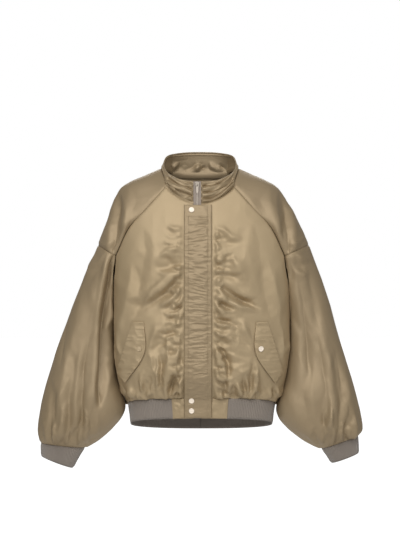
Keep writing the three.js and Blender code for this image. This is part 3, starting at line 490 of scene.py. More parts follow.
sleeveCreases = {
    "right": [
        # depth, width, and the line's points in front view
        (14, 6, ((-238, -205), (-246, -260), (-262, -360), (-270, -440), (-275, -560), (-276, -640))),
        (5.5, 6, ((-300, -420), (-318, -520), (-324, -620), (-322, -690))),
        (4, 7, ((-352, -330), (-374, -440), (-388, -540))),
        (5, 6, ((-392, -580), (-400, -640), (-404, -705))),
    ],
    "left": [
        (4.5, 7, ((262, -250), (282, -340), (292, -440), (298, -560))),
        (5, 7, ((318, -420), (334, -500), (346, -600), (350, -680))),
        (4, 6, ((372, -470), (388, -560), (398, -640))),
        (5, 5, ((402, -610), (410, -660), (414, -706))),
    ],
}
yokeCreases = {
    "right": [(7, 6, ((-214, -44), (-226, -90), (-232, -140), (-237, -190), (-240, -214)))],
    "left": [(7, 6, ((228, -50), (238, -96), (242, -150), (243, -200), (244, -214)))],
}
frontFolds = {
    "right": [
        # fromX, fromZ, toX, toZ, bow, depth, width
        (-42, -257, -154, -350, -6, 6.5, 9),
        (-54, -310, -110, -356, 3, 4.5, 7),
        (-45, -371, -92, -392, 3, -4.0, 6),
        (-118, -252, -46, -228, 8, -3.0, 9),
        (-110, -222, -44, -209, -6, 3.2, 7),
        (-32, -420, -114, -428, 4, -3.0, 5),
        (-114, -488, -118, -584, 2, 2.6, 5),
        (-48, -461, -96, -584, -5, 3.4, 11),
        (-150, -150, -166, -300, 5, -1.2, 13),
        (-44, -330, -82, -362, 3, 3.0, 6),
        (-44, -352, -90, -374, 2, -2.6, 5),
        (-62, -540, -46, -600, 3, 3.2, 6),
        (-206, -569, -176, -604, 4, 4.5, 7),
        (-152, -598, -132, -586, 2, 3.5, 6),
        (-50, -186, -96, -204, 4, 2.4, 6),
        (-46, -160, -92, -166, 3, 1.8, 6),
        (-120, -300, -196, -338, 6, 2.4, 12),
        (-90, -400, -146, -480, -6, 2.6, 11),
        (-188, -250, -216, -420, 6, 2.6, 14),
    ],
    "left": [
        (42, -289, 158, -358, 6, -6.5, 8),
        (40, -334, 98, -361, 4, -4.5, 6),
        (37, -388, 104, -404, 3, -3.2, 5),
        (38, -450, 76, -551, -13, -5.5, 7),
        (38, -570, 126, -609, 8, -4.8, 7),
        (84, -208, 128, -279, 5, 3.4, 13),
        (146, -498, 131, -604, 4, -3.4, 6),
        (224, -536, 155, -622, -6, -3.2, 7),
        (40, -214, 88, -209, 3, 2.6, 6),
        (38, -236, 96, -228, -3, 2.8, 6),
        (40, -258, 112, -262, 3, 2.8, 6),
        (44, -306, 150, -330, 5, 3.2, 8),
        (40, -420, 92, -446, 4, 2.6, 7),
        (40, -478, 70, -520, 5, 2.6, 7),
        (36, -512, 62, -560, 5, 2.4, 6),
        (150, -140, 168, -290, -6, -1.2, 14),
        (60, -150, 110, -176, 4, 2.2, 8),
        (110, -390, 168, -470, 6, 2.6, 11),
        (190, -240, 214, -400, -6, 2.6, 14),
    ],
}
backFolds = [
    (-30, -250, -170, -300, 8, -4.5, 14),
    (24, -270, 180, -330, -8, 4.5, 14),
    (-60, -340, -190, -410, 10, 4.2, 13),
    (50, -360, 176, -440, 10, -4.2, 12),
    (-20, -430, -120, -520, 8, 3.6, 12),
    (14, -450, 110, -560, -9, 3.8, 12),
    (-90, -90, -160, -190, 8, 3.0, 16),
    (84, -100, 158, -200, 8, -3.2, 16),
    (-130, -540, -110, -660, 5, 3.6, 9),
    (-60, -560, -64, -676, 4, -3.4, 8),
    (10, -570, 4, -682, 5, 3.4, 9),
    (70, -548, 82, -668, 5, -3.6, 8),
    (140, -540, 128, -650, 5, 3.4, 9),
    (-40, -150, 50, -170, 8, 2.4, 15),
    (-180, -480, -205, -600, 6, 3.2, 10),
    (186, -470, 206, -600, 6, 3.2, 10),
]
sleeveFolds = {
    "right": [
        (-228, -190, -250, -300, 6, -6.0, 9),
        (-246, -290, -270, -420, 6, -6.5, 8),
        (-266, -410, -274, -620, 8, -5.0, 7),
        (-288, -260, -318, -440, 10, 3.4, 14),
        (-330, -300, -372, -520, 10, 3.6, 15),
        (-306, -460, -330, -640, -9, -3.6, 12),
        (-370, -470, -398, -640, 9, 4.0, 13),
        (-352, -560, -350, -700, 8, -4.6, 9),
        (-300, -560, -286, -680, 8, 4.2, 10),
        (-410, -560, -418, -700, 6, -4.0, 10),
        (-296, -200, -332, -296, 6, 3.4, 10),
        (-264, -214, -312, -250, 6, 3.8, 8),
    ],
    "left": [
        (236, -190, 246, -290, 6, 5.0, 9),
        (268, -240, 282, -420, 8, 4.4, 12),
        (300, -250, 330, -420, 8, -4.6, 13),
        (286, -430, 300, -600, -8, -4.2, 12),
        (332, -380, 368, -560, 9, 3.8, 14),
        (310, -520, 316, -680, 8, 4.2, 10),
        (372, -480, 396, -650, 8, -4.0, 12),
        (352, -590, 366, -700, 7, 4.6, 9),
        (404, -560, 420, -690, 6, 3.8, 10),
        (262, -216, 306, -230, 5, 4.4, 8),
        (254, -236, 300, -262, 6, -4.0, 7),
    ],
}
yokeFolds = {
    "right": [
        (-226, -44, -230, -206, 5, -6.0, 9),
        (-196, -30, -222, -120, 6, 3.0, 12),
        (-250, -110, -276, -190, 5, 3.2, 10),
        (-120, -40, -176, -96, 6, 2.0, 12),
        (-236, -170, -286, -196, 5, 3.6, 8),
    ],
    "left": [
        (222, -40, 232, -206, -5, -6.0, 9),
        (190, -30, 214, -120, 6, 3.0, 12),
        (252, -96, 284, -180, 5, 3.4, 10),
        (122, -38, 176, -100, 6, 2.0, 12),
        (240, -186, 288, -170, 5, 3.6, 8),
    ],
}
collarFolds = [
    (0, -28, 58, -20, -4, -5.0, 4.5),
    (8, -42, 56, -27, 3, -4.5, 4),
    (22, -56, 104, 4, 9, -6.5, 5),
    (2, -56, 42, -59, 3, -4.0, 4),
    (-58, -18, -26, -20, 3, -5.0, 4.5),
    (-58, -50, -22, -53, 3, -4.5, 4),
    (-100, -14, -62, -44, -4, 5.0, 5),
    (-98, 2, -60, -26, -5, 4.5, 5),
    (-92, -28, -50, -56, -3, 4.0, 4.5),
    (60, -48, 100, -16, 5, 4.5, 5),
    (56, -16, 98, 20, 6, 4.0, 5),
]
insideCollarFolds = [
    (-70, 0, -12, 46, 5, 4.5, 8),
    (-34, -4, 6, 44, -4, -4.0, 7),
    (2, 48, 36, -2, 4, 4.5, 8),
    (30, 50, 72, 6, 5, -4.0, 7),
    (-88, 4, -62, 48, -3, -4.5, 7),
    (58, 46, 88, 18, 3, 3.5, 6),
]


# Small puckers where a seam takes in more cloth than it shows
def puckerRows(seed, count, xs, zs, lengths, depths, widths, slope):
    spin = random.Random(seed)
    rows = []
    for index in range(count):
        z = zs[0] + (zs[1] - zs[0]) * (index + spin.uniform(0.1, 0.9)) / count
        x = xs[0] + spin.uniform(-3, 3)
        reach = spin.uniform(*lengths) * (1 if xs[1] > xs[0] else -1)
        rise = reach * spin.uniform(*slope)
        rows.append(
            (x, z, x + reach, z + rise, spin.uniform(-3, 3), spin.uniform(*depths), spin.uniform(*widths))
        )
    return rows


# Short upright folds where a seam gathers the cloth
def gatherRows(seed, count, xs, zEdge, lengths, depths, widths):
    spin = random.Random(seed)
    rows = []
    for index in range(count):
        x = xs[0] + (xs[1] - xs[0]) * (index + spin.uniform(0.15, 0.85)) / count
        reach = spin.uniform(*lengths)
        lean = spin.uniform(-0.25, 0.25) * reach
        bow, depth, width = spin.uniform(-4, 4), spin.uniform(*depths), spin.uniform(*widths)
        rows.append((x, zEdge, x + lean, zEdge + reach, bow, depth, width))
    return rows


frontFolds["right"] += puckerRows(
    11, 32, (-44, -90), (-140, -596), (16, 52), (1.2, 2.8), (4.4, 6.5), (-0.4, 0.15)
)
frontFolds["left"] += puckerRows(
    12, 37, (34, 90), (-135, -600), (16, 60), (1.2, 3.0), (4.4, 6.5), (-0.45, 0.1)
)
frontFolds["right"] += gatherRows(13, 15, (-60, -220), -606, (26, 84), (-3.6, 3.8), (4, 6.5))
frontFolds["left"] += gatherRows(14, 15, (60, 226), -606, (26, 84), (-3.6, 3.8), (4, 6.5))
backFolds += gatherRows(15, 34, (-215, 215), -654, (26, 90), (-3.6, 3.8), (4, 7))


# Uneven swells and creases of one size, in millimetres
def crumple(places, size, height, tall=1.0):
    coarse = ridgesAt(places, (size * 1.5, size * 1.5, size * tall)) - 0.5
    fine = ridgesAt(places, (size * 0.55, size * 0.55, size * 0.4 * tall), 5.3) - 0.5
    return height * (coarse + 0.45 * fine) * look["crumple"]


# Points along the edges of every piece, six to an edge, to tell a sewn edge from a free one
edgePoints = {
    name: [
        edge.verts[0].co.lerp(edge.verts[1].co, part / 6)
        for edge in form.edges
        if edge.is_boundary
        for part in range(6)
    ]
    for name, form in layers.items()
}
sewnWithin = 0.0045  # metres between two edges that are sewn together


# A narrow strip turned in along each sewn edge, which closes the seam. Sizes are millimetres. Behind
# is what the strip gains at the back of the jacket.
def addAllowance(name, piece, reach=1.3, sink=1.7, behind=0.0):
    tree = treeOf([place for other, along in edgePoints.items() if other != name for place in along])
    form = bmesh.new()
    form.from_mesh(piece.data)
    border = [e for e in form.edges if e.is_boundary]
    sewn = [e for e in border if all(tree.find(v.co)[2] < sewnWithin for v in e.verts)]
    if sewn:
        outward = {}
        for vertex in {v for e in sewn for v in e.verts}:
            ends = [e.other_vert(vertex).co for e in vertex.link_edges if e.is_boundary]
            run = (ends[0] - ends[-1]).normalized()
            away = vertex.co - facesMiddle(vertex)
            away -= run * away.dot(run)
            away -= vertex.normal * away.dot(vertex.normal)
            far = reach + behind * min(max(vertex.co.y / 0.08, 0), 1)
            outward[tuple(vertex.co)] = away.normalized() * far * mm - vertex.normal * sink * mm
        made = bmesh.ops.extrude_edge_only(form, edges=sewn)["geom"]
        for vertex in [g for g in made if isinstance(g, bmesh.types.BMVert)]:
            vertex.co += outward[tuple(vertex.co)]
    form.to_mesh(piece.data)
    form.free()


# Moves a piece's points outwards by the heights asked for, less near its edges, where a seam draws it in.
# Sizes are millimetres.
def shapeCloth(piece, heightsOf, edgeFade=9.0, groove=1.0):
    places = readPoints(piece.data)
    normals = readNormals(piece.data)
    away = edgeDistance(piece, places) / mm
    heights = heightsOf(places, normals) * smoothstep(0, edgeFade, away)
    heights -= groove * np.exp(-((away / 3.0) ** 2))
    writePoints(piece.data, places + normals * heights[:, None] * mm)


# The shape of a finished piece, for laying things on it
def surfaceOf(pieceName):
    form = bmesh.new()
    form.from_mesh(bpy.data.objects[pieceName].data)
    tree = BVHTree.FromBMesh(form)
    form.free()
    return tree


# Joins many small copies of one shape into one piece
def manyCopies(name, shape, matrices, material):
    points, faces = shape
    allPoints, allFaces = [], []
    for matrix in matrices:
        start = len(allPoints)
        allPoints += [matrix @ Vector(point) for point in points]
        allFaces += [[start + index for index in face] for face in faces]
    mesh = bpy.data.meshes.new(name)
    mesh.from_pydata(allPoints, [], allFaces)
    mesh.update()
    piece = bpy.data.objects.new(name, mesh)
    scene.collection.objects.link(piece)
    mesh.materials.append(material)
    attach(piece, rootBody)


# Stands a copy at a place, with its length along one direction and its top facing out
def facingMatrix(place, along, out):
    across = out.cross(along).normalized()
    along = across.cross(out).normalized()
    return Matrix(
        (
            (along.x, across.x, out.x, place.x),
            (along.y, across.y, out.y, place.y),
            (along.z, across.z, out.z, place.z),
            (0, 0, 0, 1),
        )
    )


sewing = {"stitch": 3.0, "step": 4.2, "width": 0.75, "height": 0.55, "sunk": 0.2, "lift": 0.1, "inset": 5.0}
half = sewing["stitch"] * mm / 2
wide = sewing["width"] * mm / 2
sunk = -sewing["sunk"] * mm
stitchShape = (
    [(-half, 0, sunk), (half, 0, sunk), (0, -wide, 0), (0, wide, 0), (0, 0, sewing["height"] * mm)],
    [(0, 2, 4), (2, 1, 4), (1, 3, 4), (3, 0, 4)],
)


# Lines on a piece's outer face that keep one distance from its edges
def insetSegments(piece, away, inset):
    mesh = piece.data
    segments = []
    for face in mesh.polygons:
        crossings = []
        for a, b in face.edge_keys:
            if (away[a] < inset) != (away[b] < inset):
                part = (inset - away[a]) / (away[b] - away[a])
                crossings.append(mesh.vertices[a].co.lerp(mesh.vertices[b].co, part))
        if len(crossings) == 2:
            segments.append((crossings[0], crossings[1], face.normal.copy()))
    return segments


stitchPlaces = []


def addStitch(place, along, normal):
    stitchPlaces.append(facingMatrix(place + normal * sewing["lift"] * mm, along, normal))


# A place as whole numbers, so that two ends that meet are the same
def endKey(place):
    return tuple(round(value * 2e5) for value in place)


# The short lines across the faces are joined into runs, and a stitch lies at every step along each run
def sew(piece, chosen):
    away = edgeDistance(piece, readPoints(piece.data)) / mm
    segments = insetSegments(piece, away, sewing["inset"])
    ends = {}
    for index, (a, b, _) in enumerate(segments):
        ends.setdefault(endKey(a), []).append(index)
        ends.setdefault(endKey(b), []).append(index)
    unused = set(range(len(segments)))
    while unused:
        index = min(unused)
        unused.discard(index)
        a, b, normal = segments[index]
        run = [(a, normal), (b, normal)]
        while True:
            here = endKey(run[-1][0])
            following = [i for i in ends[here] if i in unused]
            if not following:
                break
            unused.discard(following[0])
            c, d, normal = segments[following[0]]
            run.append((d if endKey(c) == here else c, normal))
        walked = 0.0
        for (a, _), (b, normal) in zip(run, run[1:]):
            length = (b - a).length
            while walked < length:
                place = a.lerp(b, walked / length)
                if chosen(place):
                    addStitch(place, b - a, normal)
                walked += sewing["step"] * mm
            walked -= length


# Where each piece has topstitching, given a place on it: not under the placket, nor round the sides
topstitched = {
    "front": lambda place: abs(place.x) > 0.045 and (abs(place.y) > 0.05 or place.z > -0.2),
    "back": lambda place: abs(place.y) > 0.05,
    "sleeve": lambda place: place.z > -0.36,
    "collar": lambda place: abs(place.x) > 0.02,
    "hem_tab": lambda place: True,
    "pocket_flap": lambda place: True,
}


def finishCloth(name, piece, thickness=1.0):
    for start, chosen in topstitched.items():
        if name.startswith(start):
            sew(piece, chosen)
    if name == "collar":
        addAllowance(name, piece, reach=4.5, sink=1.4, behind=10)
    elif not name.startswith(("placket", "pocket")):
        addAllowance(name, piece)
    applyModifier(piece, "SOLIDIFY", thickness=thickness * mm, offset=-1.0)
    for face in piece.data.polygons:
        face.use_smooth = True
    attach(piece, rootBody)
    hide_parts(name)


levels = look["subdivisions"]

# The cloth hangs over the rib in uneven puffs. Sizes are millimetres.
puffLook = {"out": 6.5, "across": 15, "above": 13, "tall": 15}


def billow(places, hem=-0.606):
    up = (places[:, 2] - hem) / mm
    puffs = ridgesAt(places, (puffLook["across"], puffLook["across"], 400), 6.6) - 0.25
    band = np.exp(-(((up - puffLook["above"]) / puffLook["tall"]) ** 2))
    return puffs * puffLook["out"] * band * smoothstep(0.045, 0.06, np.abs(places[:, 0]))


# Fronts. Drawn ridges run out from the placket, and low ones stand above the hem. The tallest level off.
frontLook = {
    "folds": 1.2,
    "crumple": 1.1,
    "fine": 1.6,
    "drawn": 7.5,
    "low": 9.5,
    "levelFrom": 9,
    "levelWithin": 4,
}


def frontHeights(places, normals, side):
    x, z = np.abs(places[:, 0]), places[:, 2]
    facing = smoothstep(0.05, 0.4, -normals[:, 1])
    low = smoothstep(-0.36, -0.5, z)
    heights = frontLook["folds"] * foldHeights(places, frontFolds[side]) * facing
    fine = crumple(places, 17, 0.5) * frontLook["fine"] * low
    heights += crumple(places, 60, frontLook["crumple"], 1.5) + fine

    nearPlacket = np.exp(-(((x - 0.04) / 0.075) ** 2)) * smoothstep(-0.12, -0.26, z)
    nearPlacket *= smoothstep(0.026, 0.052, x)
    slope = np.interp(-z, (0.16, 0.32), (-0.2, 0.4)) * x
    wander = 0.06 * (noiseAt(places, (52, 52, 24), 8.8) - 0.5)
    drawn = ridgesAt(shifted(places, wander, slope), (70, 70, 14), 3.7) ** 1.8 - 0.4
    heights += drawn * frontLook["drawn"] * nearPlacket * facing
    heights += (ridgesAt(places, (34, 34, 62), 8.2) ** 1.6 - 0.4) * frontLook["low"] * low * facing

    flapMiddle = np.interp(-z, (0.39, 0.484, 0.57), (0.168, 0.178, 0.212))
    underFlap = smoothstep(0.05, 0.03, np.abs(x - flapMiddle))
    underFlap *= smoothstep(-0.6, -0.575, z) * smoothstep(-0.375, -0.4, z)
    besidePlacket = smoothstep(0.037, 0.052, np.abs(places[:, 0] + 0.0045))
    heights = (heights * (1 - 0.85 * underFlap) + billow(places)) * besidePlacket
    over = np.maximum(heights - frontLook["levelFrom"], 0)
    return heights - over + frontLook["levelWithin"] * np.tanh(over / frontLook["levelWithin"])


for side in ("right", "left"):
    name = "front_" + side
    piece = smoothPiece(name, satin, levels)
    shapeCloth(piece, lambda places, normals: frontHeights(places, normals, side), edgeFade=5.0)
    finishCloth(name, piece)
print("fronts made")

# Back
backLook = {"crumple": 2.4, "low": 8.0, "hem": -0.648}


def backHeights(places, normals):
    facing = smoothstep(0.05, 0.4, normals[:, 1])
    low = smoothstep(-0.44, -0.6, places[:, 2])
    heights = foldHeights(places, backFolds) * facing + crumple(places, 60, backLook["crumple"], 1.4)
    heights += (ridgesAt(places, (34, 34, 66), 6.1) - 0.5) * backLook["low"] * low * facing
    return heights + billow(places, backLook["hem"])


piece = smoothPiece("back", satinPaintedShade, levels - 1)
shapeCloth(piece, backHeights, edgeFade=5.0)
finishCloth("back", piece)
print("back made")

# Yokes: a deep crease near the sleeve's seam, and a few soft folds
yokeLook = {"folds": 0.35, "creases": 0.8, "crumple": 1.1}


def yokeHeights(places, normals, side):
    facing = smoothstep(-0.1, 0.3, -normals[:, 1])
    folds = yokeLook["folds"] * foldHeights(places, yokeFolds[side])
    creases = yokeLook["creases"] * creaseHeights(places, yokeCreases[side], fadeEnd=False)
    return (folds + creases) * facing + crumple(places, 52, yokeLook["crumple"], 1.6)


# Sleeves. Each is gathered into its cuff, and swells a little where it lies against the body.
sleeveLook = {"folds": 0.5, "gathers": 0.8, "touching": 3.0, "crumple": 1.3, "lowCrumple": 0.6, "seam": -738}
cuffSpan = {"right": (-300, -440), "left": (320, 440)}
gatherSeeds = {"right": (21, 23), "left": (22, 24)}


def sleeveHeights(places, normals, side):
    frontSeed, backSeed = gatherSeeds[side]
    seam = sleeveLook["seam"]
    gathers = gatherRows(frontSeed, 13, cuffSpan[side], seam, (40, 130), (-4.6, 4.8), (4.5, 8))
    hidden = gatherRows(backSeed, 12, cuffSpan[side], seam, (40, 140), (-4.6, 4.8), (4.5, 8))
    mirrored = [
        (fromX + 8, fromZ - 26, toX + 6, toZ - 18, -bow, -depth, width * 1.1)
        for fromX, fromZ, toX, toZ, bow, depth, width in sleeveFolds[side][3:]
    ]
    front = smoothstep(-0.05, 0.35, -normals[:, 1])
    behind = smoothstep(-0.05, 0.35, normals[:, 1])
    folds = sleeveLook["folds"] * foldHeights(places, sleeveFolds[side])
    heights = (folds + sleeveLook["gathers"] * foldHeights(places, gathers)) * front
    heights += creaseHeights(places, sleeveCreases[side]) * front
    heights += foldHeights(places, mirrored + hidden) * behind

    z = places[:, 2]
    upright = shifted(places, x=0.45 * sideSign(side) * z)  # the arm's slant taken out
    heights += crumple(upright, 44, sleeveLook["crumple"], 5.5)
    heights += crumple(places, 20, sleeveLook["lowCrumple"], 2.0) * smoothstep(-0.52, -0.68, z)
    inner = smoothstep(0.3, 0.8, -sideSign(side) * normals[:, 0])
    return heights + sleeveLook["touching"] * inner * smoothstep(-0.44, -0.52, z) * smoothstep(-0.66, -0.6, z)


for side in ("right", "left"):
    for name, heightsOf in (("yoke_" + side, yokeHeights), ("sleeve_" + side, sleeveHeights)):
        piece = smoothPiece(name, satinPaintedShade, levels)
        shapeCloth(piece, lambda places, normals: heightsOf(places, normals, side))
        finishCloth(name, piece)
print("yokes and sleeves made")


# How high a point stands on the collar, from 0 at the neck seam to 1 at the free edge, and how tall the
# collar is there, in metres. An edge is told by the side on which its faces lie.
def upCollar(piece, places):
    turn = np.arctan2(places[:, 0], -places[:, 1])
    form = bmesh.new()
    form.from_mesh(piece.data)
    edges = {"seam": [], "free": []}
    for vertex in form.verts:
        if any(edge.is_boundary for edge in vertex.link_edges):
            step = facesMiddle(vertex) - vertex.co
            if abs(step.z) > 0.6 * step.length:
                around = math.atan2(vertex.co.x, -vertex.co.y)
                edges["seam" if step.z > 0 else "free"].append((around, vertex.co.z))
    form.free()
    seam, free = [np.interp(turn, *zip(*sorted(edges[kind]))) for kind in ("seam", "free")]
    tall = np.maximum(free - seam, 0.004)
    return np.clip((places[:, 2] - seam) / tall, 0, 1), tall


# Collar: slumped rolls in front, a stitched groove below the free edge, and folds inside the back of the neck
collarLook = {"rolls": 3.4, "depth": 9.0, "folds": 0.45, "groove": 1.4, "inside": 0.9, "crumple": 0.9}
collar = smoothPiece("collar", satinPaintedShade, levels)


def collarHeights(places, normals):
    turn = np.arctan2(places[:, 0], -places[:, 1])
    up, tall = upCollar(collar, places)
    front = smoothstep(1.7, 0.9, np.abs(turn)) * smoothstep(0.015, 0.05, tall)
    drift = 0.3 * np.sin(2.3 * turn + 0.8) + 0.16 * np.sin(5.1 * turn)
    rolls = np.abs(np.sin(math.pi * (collarLook["rolls"] * up + drift))) ** 0.7 - 0.55
    heights = collarLook["depth"] * rolls * front * smoothstep(1.0, 0.86, up)
    heights += collarLook["folds"] * foldHeights(places, collarFolds) * smoothstep(0.45, 0.75, -normals[:, 1])
    heights -= collarLook["groove"] * np.exp(-(((up - 0.87) / 0.025) ** 2)) * smoothstep(0.02, 0.035, tall)
    behind = smoothstep(0.5, 0.8, normals[:, 1]) * smoothstep(0.02, 0.4, up)
    heights += collarLook["inside"] * foldHeights(places, insideCollarFolds) * behind
    return heights + crumple(places, 34, collarLook["crumple"]) * smoothstep(0.01, 0.04, tall)


shapeCloth(collar, collarHeights, edgeFade=5.0, groove=0.6)
finishCloth("collar", collar, thickness=3.0)

# Placket: ruched between two stitched bands, plain at its top and over the hem
placketLook = {"puckers": 3.8, "bands": 0.25, "plain": 0.15, "groove": 1.1, "crumple": 0.7, "lowLift": 1.2}


def placketHeights(places, normals):
    x, z = places[:, 0] / mm, places[:, 2]
    between = smoothstep(-34, -28, x) * smoothstep(24, 18, x)
    slant = 0.6 * (noiseAt(places, (400, 400, 70), 5.2) - 0.5)
    tilted = shifted(places, z=slant * places[:, 0])
    puckers = ridgesAt(tilted, (34, 400, 9), 2.1) - 0.45
    puckers += 0.5 * (ridgesAt(tilted, (15, 400, 5), 7.7) - 0.5)
    plain = np.where((z < -0.606) | (z > -0.112), placketLook["plain"], 1.0)
    share = placketLook["bands"] + (1 - placketLook["bands"]) * between
    heights = puckers * placketLook["puckers"] * share * plain
    for seam in (-33.5, 23.5):
        heights -= placketLook["groove"] * np.exp(-(((x - seam) / 1.6) ** 2))
    heights += crumple(places, 15, placketLook["crumple"])
    return heights + placketLook["lowLift"] * smoothstep(-0.5, -0.58, z)


piece = smoothPiece("placket", satinPaintedShade, levels)
shapeCloth(piece, placketHeights, edgeFade=3.0, groove=0.5)
finishCloth("placket", piece, thickness=1.6)

# Pocket flaps stand off lower down. Hem tabs are nearly flat.
flapLook = {"ridges": 2.4, "crumple": 0.5, "lift": 2.2, "tabCrumple": 1.8}


def flapHeights(places, normals):
    ridges = (ridgesAt(places, (30, 400, 11), 3.3) - 0.5) * flapLook["ridges"]
    lift = flapLook["lift"] * smoothstep(-0.398, -0.44, places[:, 2])
    return ridges + crumple(places, 14, flapLook["crumple"]) + lift


for side in ("right", "left"):
    name = "pocket_flap_" + side
    piece = smoothPiece(name, satin, levels)
    shapeCloth(piece, flapHeights, edgeFade=0.1, groove=0.0)
    finishCloth(name, piece, thickness=2.2)
    name = "hem_tab_" + side
    piece = smoothPiece(name, satin, levels)
    shapeCloth(piece, lambda places, normals: crumple(places, 14, flapLook["tabCrumple"]), groove=0.6)
    finishCloth(name, piece, thickness=1.4)
print("collar, placket, flaps and tabs made")

# Ribs. The knit counts its wales by the distance along the rib, at about this radius in metres.
ribRadius = {"hem_rib": 0.17, "cuff_right": 0.05, "cuff_left": 0.05}
for name, radius in ribRadius.items():
    piece = smoothPiece(name, rib, 2)
    shapeCloth(piece, lambda places, normals: crumple(places, 26, 1.0), groove=0.8)
    places = readPoints(piece.data)
    if name == "hem_rib":
        along = np.arctan2(places[:, 0], -places[:, 1]) * radius
    else:
        middle = places.mean(axis=0)
        along = np.arctan2(places[:, 1] - middle[1], places[:, 0] - middle[0]) * radius
    attribute = piece.data.attributes.new("along", "FLOAT", "POINT")
    attribute.data.foreach_set("value", along)
    finishCloth(name, piece, thickness=2.6)
print("ribs made")

# Two rows of stitches on each band of the placket hold its ruching. Sizes are millimetres.
bandRows = {"x": (-40.5, -36.5, 26.5, 29.8), "fromZ": -657, "count": 138}
toFront = Vector((0, 1, 0))
upwards = Vector((0, 0, 1))


# Where a line from in front of the jacket first meets a surface
def hitFromFront(surface, x, z):
    return surface.ray_cast(Vector((x, -0.4, z)), toFront)


placketSurface = surfaceOf("placket_cloth")
for x in bandRows["x"]:
    for step in range(bandRows["count"]):
        z = bandRows["fromZ"] + sewing["step"] * step
        place, normal, _, _ = hitFromFront(placketSurface, x * mm, z * mm)
        if place:
            addStitch(place, upwards, normal)
manyCopies("topstitching", stitchShape, stitchPlaces, threadCotton)
print("stitches", len(stitchPlaces))

# Zip: the tape, slider and pull keep their own shapes, and the teeth are laid on the tape.
for name, material in (("zip", tapeCloth), ("zip_slider", zipMetal), ("zip_pull", zipMetal)):
    nodes[name].data.materials.clear()
    nodes[name].data.materials.append(material)
teeth = {"across": 3.4, "high": 1.3, "thick": 0.8, "step": 1.3, "apart": 1.2}  # millimetres
chain = {"fromZ": -84, "toZ": -29, "x": -7.5}
a, b, c = teeth["high"] * mm / 2, teeth["across"] * mm / 2, teeth["thick"] * mm
toothShape = (
    [(-a, -b, 0), (a, -b, 0), (a, b, 0), (-a, b, 0)]
    + [(-a * 0.7, -b * 0.8, c), (a * 0.7, -b * 0.8, c), (a * 0.7, b * 0.8, c), (-a * 0.7, b * 0.8, c)],
    [(3, 2, 1, 0), (4, 5, 6, 7), (0, 1, 5, 4), (1, 2, 6, 5), (2, 3, 7, 6), (3, 0, 4, 7)],
)
zipSurface = surfaceOf(nodes["zip"].name)
toothPlaces = []
for step in range(int((chain["toZ"] - chain["fromZ"]) / teeth["step"])):
    x = chain["x"] + (teeth["apart"] if step % 2 else -teeth["apart"])
    z = chain["fromZ"] + teeth["step"] * step
    place, normal, _, _ = hitFromFront(zipSurface, x * mm, z * mm)
    if place:
        toothPlaces.append(facingMatrix(place, upwards, normal))
manyCopies("zip_teeth", toothShape, toothPlaces, zipMetal)

# Snaps: a low domed cap with a ring round its dimple, in millimetres
cap = {"radius": 7.3, "height": 2.4, "ring": 2.0, "edge": 0.7, "dimple": 0.8, "floor": 2.2, "dome": 0.5}
bpy.ops.object.select_all(action="DESELECT")
bpy.ops.mesh.primitive_cylinder_add(
    vertices=40, radius=cap["radius"] * mm, depth=cap["height"] * mm, location=(0, 0, cap["height"] * mm / 2)
)
master = bpy.context.active_object
bpy.ops.object.transform_apply(location=True)
bpy.context.tool_settings.mesh_select_mode = (False, False, True)
bpy.ops.object.mode_set(mode="EDIT")
bpy.ops.mesh.select_all(action="DESELECT")
bpy.ops.object.mode_set(mode="OBJECT")
for face in master.data.polygons:
    face.select = face.normal.z > 0.9
bpy.ops.object.mode_set(mode="EDIT")
bpy.ops.mesh.inset(thickness=cap["ring"] * mm)
bpy.ops.mesh.inset(thickness=cap["edge"] * mm)
bpy.ops.transform.translate(value=(0, 0, -cap["dimple"] * mm))
bpy.ops.mesh.inset(thickness=cap["floor"] * mm)
bpy.ops.transform.translate(value=(0, 0, cap["dome"] * mm))
bpy.ops.object.mode_set(mode="OBJECT")
applyModifier(master, "BEVEL", width=cap["edge"] * mm, segments=3, limit_method="ANGLE")
selectOnly(master)
bpy.ops.object.shade_smooth_by_angle(angle=0.7)
snapOn = {
    "snap_neck": ("placket_cloth", snapEnamel),
    "snap_hem_upper": ("placket_cloth", snapEnamel),
    "snap_hem_lower": ("placket_cloth", snapEnamel),
    "snap_pocket_right": ("pocket_flap_right_cloth", snapCovered),
    "snap_pocket_left": ("pocket_flap_left_cloth", snapEnamel),
}
for name, (under, material) in snapOn.items():
    low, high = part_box(name)
    x, z = (low[0] + high[0]) / 2, (low[2] + high[2]) / 2
    surface = surfaceOf(under)
    spread = [(0, 0), (5, 0), (-5, 0), (0, 5), (0, -5)]  # millimetres round the cap's middle
    hits = [hitFromFront(surface, x + dx * mm, z + dz * mm) for dx, dz in spread]
    hits = [hit for hit in hits if hit[0]]
    out = sum((hit[1] for hit in hits), Vector()).normalized()
    foremost = min(hits, key=lambda hit: hit[0].y)[0]
    place = Vector((x, hits[0][0].y * 0.4 + foremost.y * 0.6, z))
    mesh = master.data.copy()
    mesh.transform(facingMatrix(place, upwards, out))
    mesh.materials.append(material)
    piece = bpy.data.objects.new(name + "_cap", mesh)
    scene.collection.objects.link(piece)
    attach(piece, rootBody)
    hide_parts(name)
bpy.data.objects.remove(master)
print("zip and snaps made")

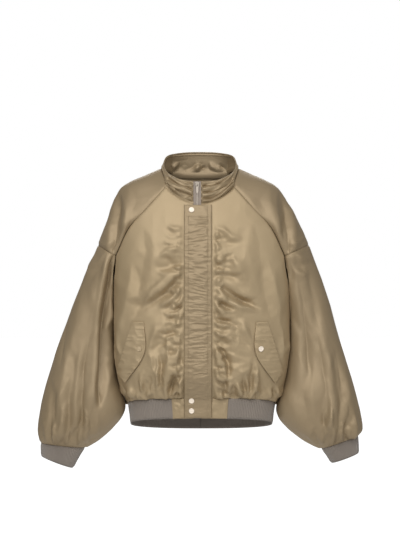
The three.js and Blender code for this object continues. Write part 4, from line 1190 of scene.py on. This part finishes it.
# Studio. The camera is level, at the photograph's distance.
camera = {"place": (0.0, -4.153, -0.249), "lens": 100.0, "sensor": 36.0, "sees": 60}
studio = {"white": "FFFFFF", "room": 0.27, "floorZ": -1.42, "floorSize": 40, "floorShine": 0.85}
lamps = [
    # place, aim, size, watts
    ((-0.4, -2.6, 1.4), (0, 0, -0.25), 3.0, 92),
    ((2.6, -2.2, 0.4), (0, 0, -0.4), 1.6, 9),
    ((0.0, 2.6, 1.0), (0, 0, -0.4), 2.0, 40),
    ((0.0, -0.6, -1.38), (0, -0.59, 0), 4.0, 24),  # what white paper below would throw up
]
world = bpy.data.worlds.new("studio")
scene.world = world
world.use_nodes = True
worldNodes, joinNodes = world.node_tree.nodes, world.node_tree.links.new
roomLight = worldNodes["Background"]
roomLight.inputs["Color"].default_value = linear(studio["white"])
roomLight.inputs["Strength"].default_value = studio["room"]
paper = worldNodes.new("ShaderNodeBackground")  # white paper, which only the camera sees
paper.inputs["Color"].default_value = linear(studio["white"])
paper.inputs["Strength"].default_value = 1.0
rays = worldNodes.new("ShaderNodeLightPath")
either = worldNodes.new("ShaderNodeMixShader")
joinNodes(rays.outputs["Is Camera Ray"], either.inputs["Fac"])
joinNodes(roomLight.outputs["Background"], either.inputs[1])
joinNodes(paper.outputs["Background"], either.inputs[2])
joinNodes(either.outputs["Shader"], worldNodes["World Output"].inputs["Surface"])

lens = bpy.data.cameras.new("camera")
lens.lens = camera["lens"]
lens.sensor_width = camera["sensor"]
cameraObject = bpy.data.objects.new("camera", lens)
scene.collection.objects.link(cameraObject)
cameraObject.location = camera["place"]
cameraObject.rotation_euler = (math.pi / 2, 0, 0)
lens.clip_end = camera["sees"]
scene.camera = cameraObject

for index, (place, aim, size, watts) in enumerate(lamps):
    lamp = bpy.data.lights.new("softbox_%d" % index, "AREA")
    lamp.shape = "SQUARE"
    lamp.size = size
    lamp.energy = watts
    lamp.color = linear(studio["white"])[:3]
    lampObject = bpy.data.objects.new(lamp.name, lamp)
    scene.collection.objects.link(lampObject)
    lampObject.location = place
    lampObject.visible_camera = False
    lampObject.rotation_euler = (Vector(aim) - Vector(place)).to_track_quat("-Z", "Y").to_euler()

# Matt white paper, a little luminous, which throws no light up at the jacket
bpy.ops.object.select_all(action="DESELECT")
bpy.ops.mesh.primitive_plane_add(size=studio["floorSize"], location=(0, 0, studio["floorZ"]))
floor = bpy.context.active_object
floor.name = "studio_floor"
paperFloor, _, floorSurface = newMaterial("studio_paper", studio["white"], 0.9)
floorSurface.inputs["Emission Color"].default_value = linear(studio["white"])
floorSurface.inputs["Emission Strength"].default_value = studio["floorShine"]
floor.visible_diffuse = False
floor.visible_glossy = False
floor.data.materials.append(paperFloor)

scene.view_settings.view_transform = "Standard"
scene.view_settings.exposure = 0.0
print("studio made")
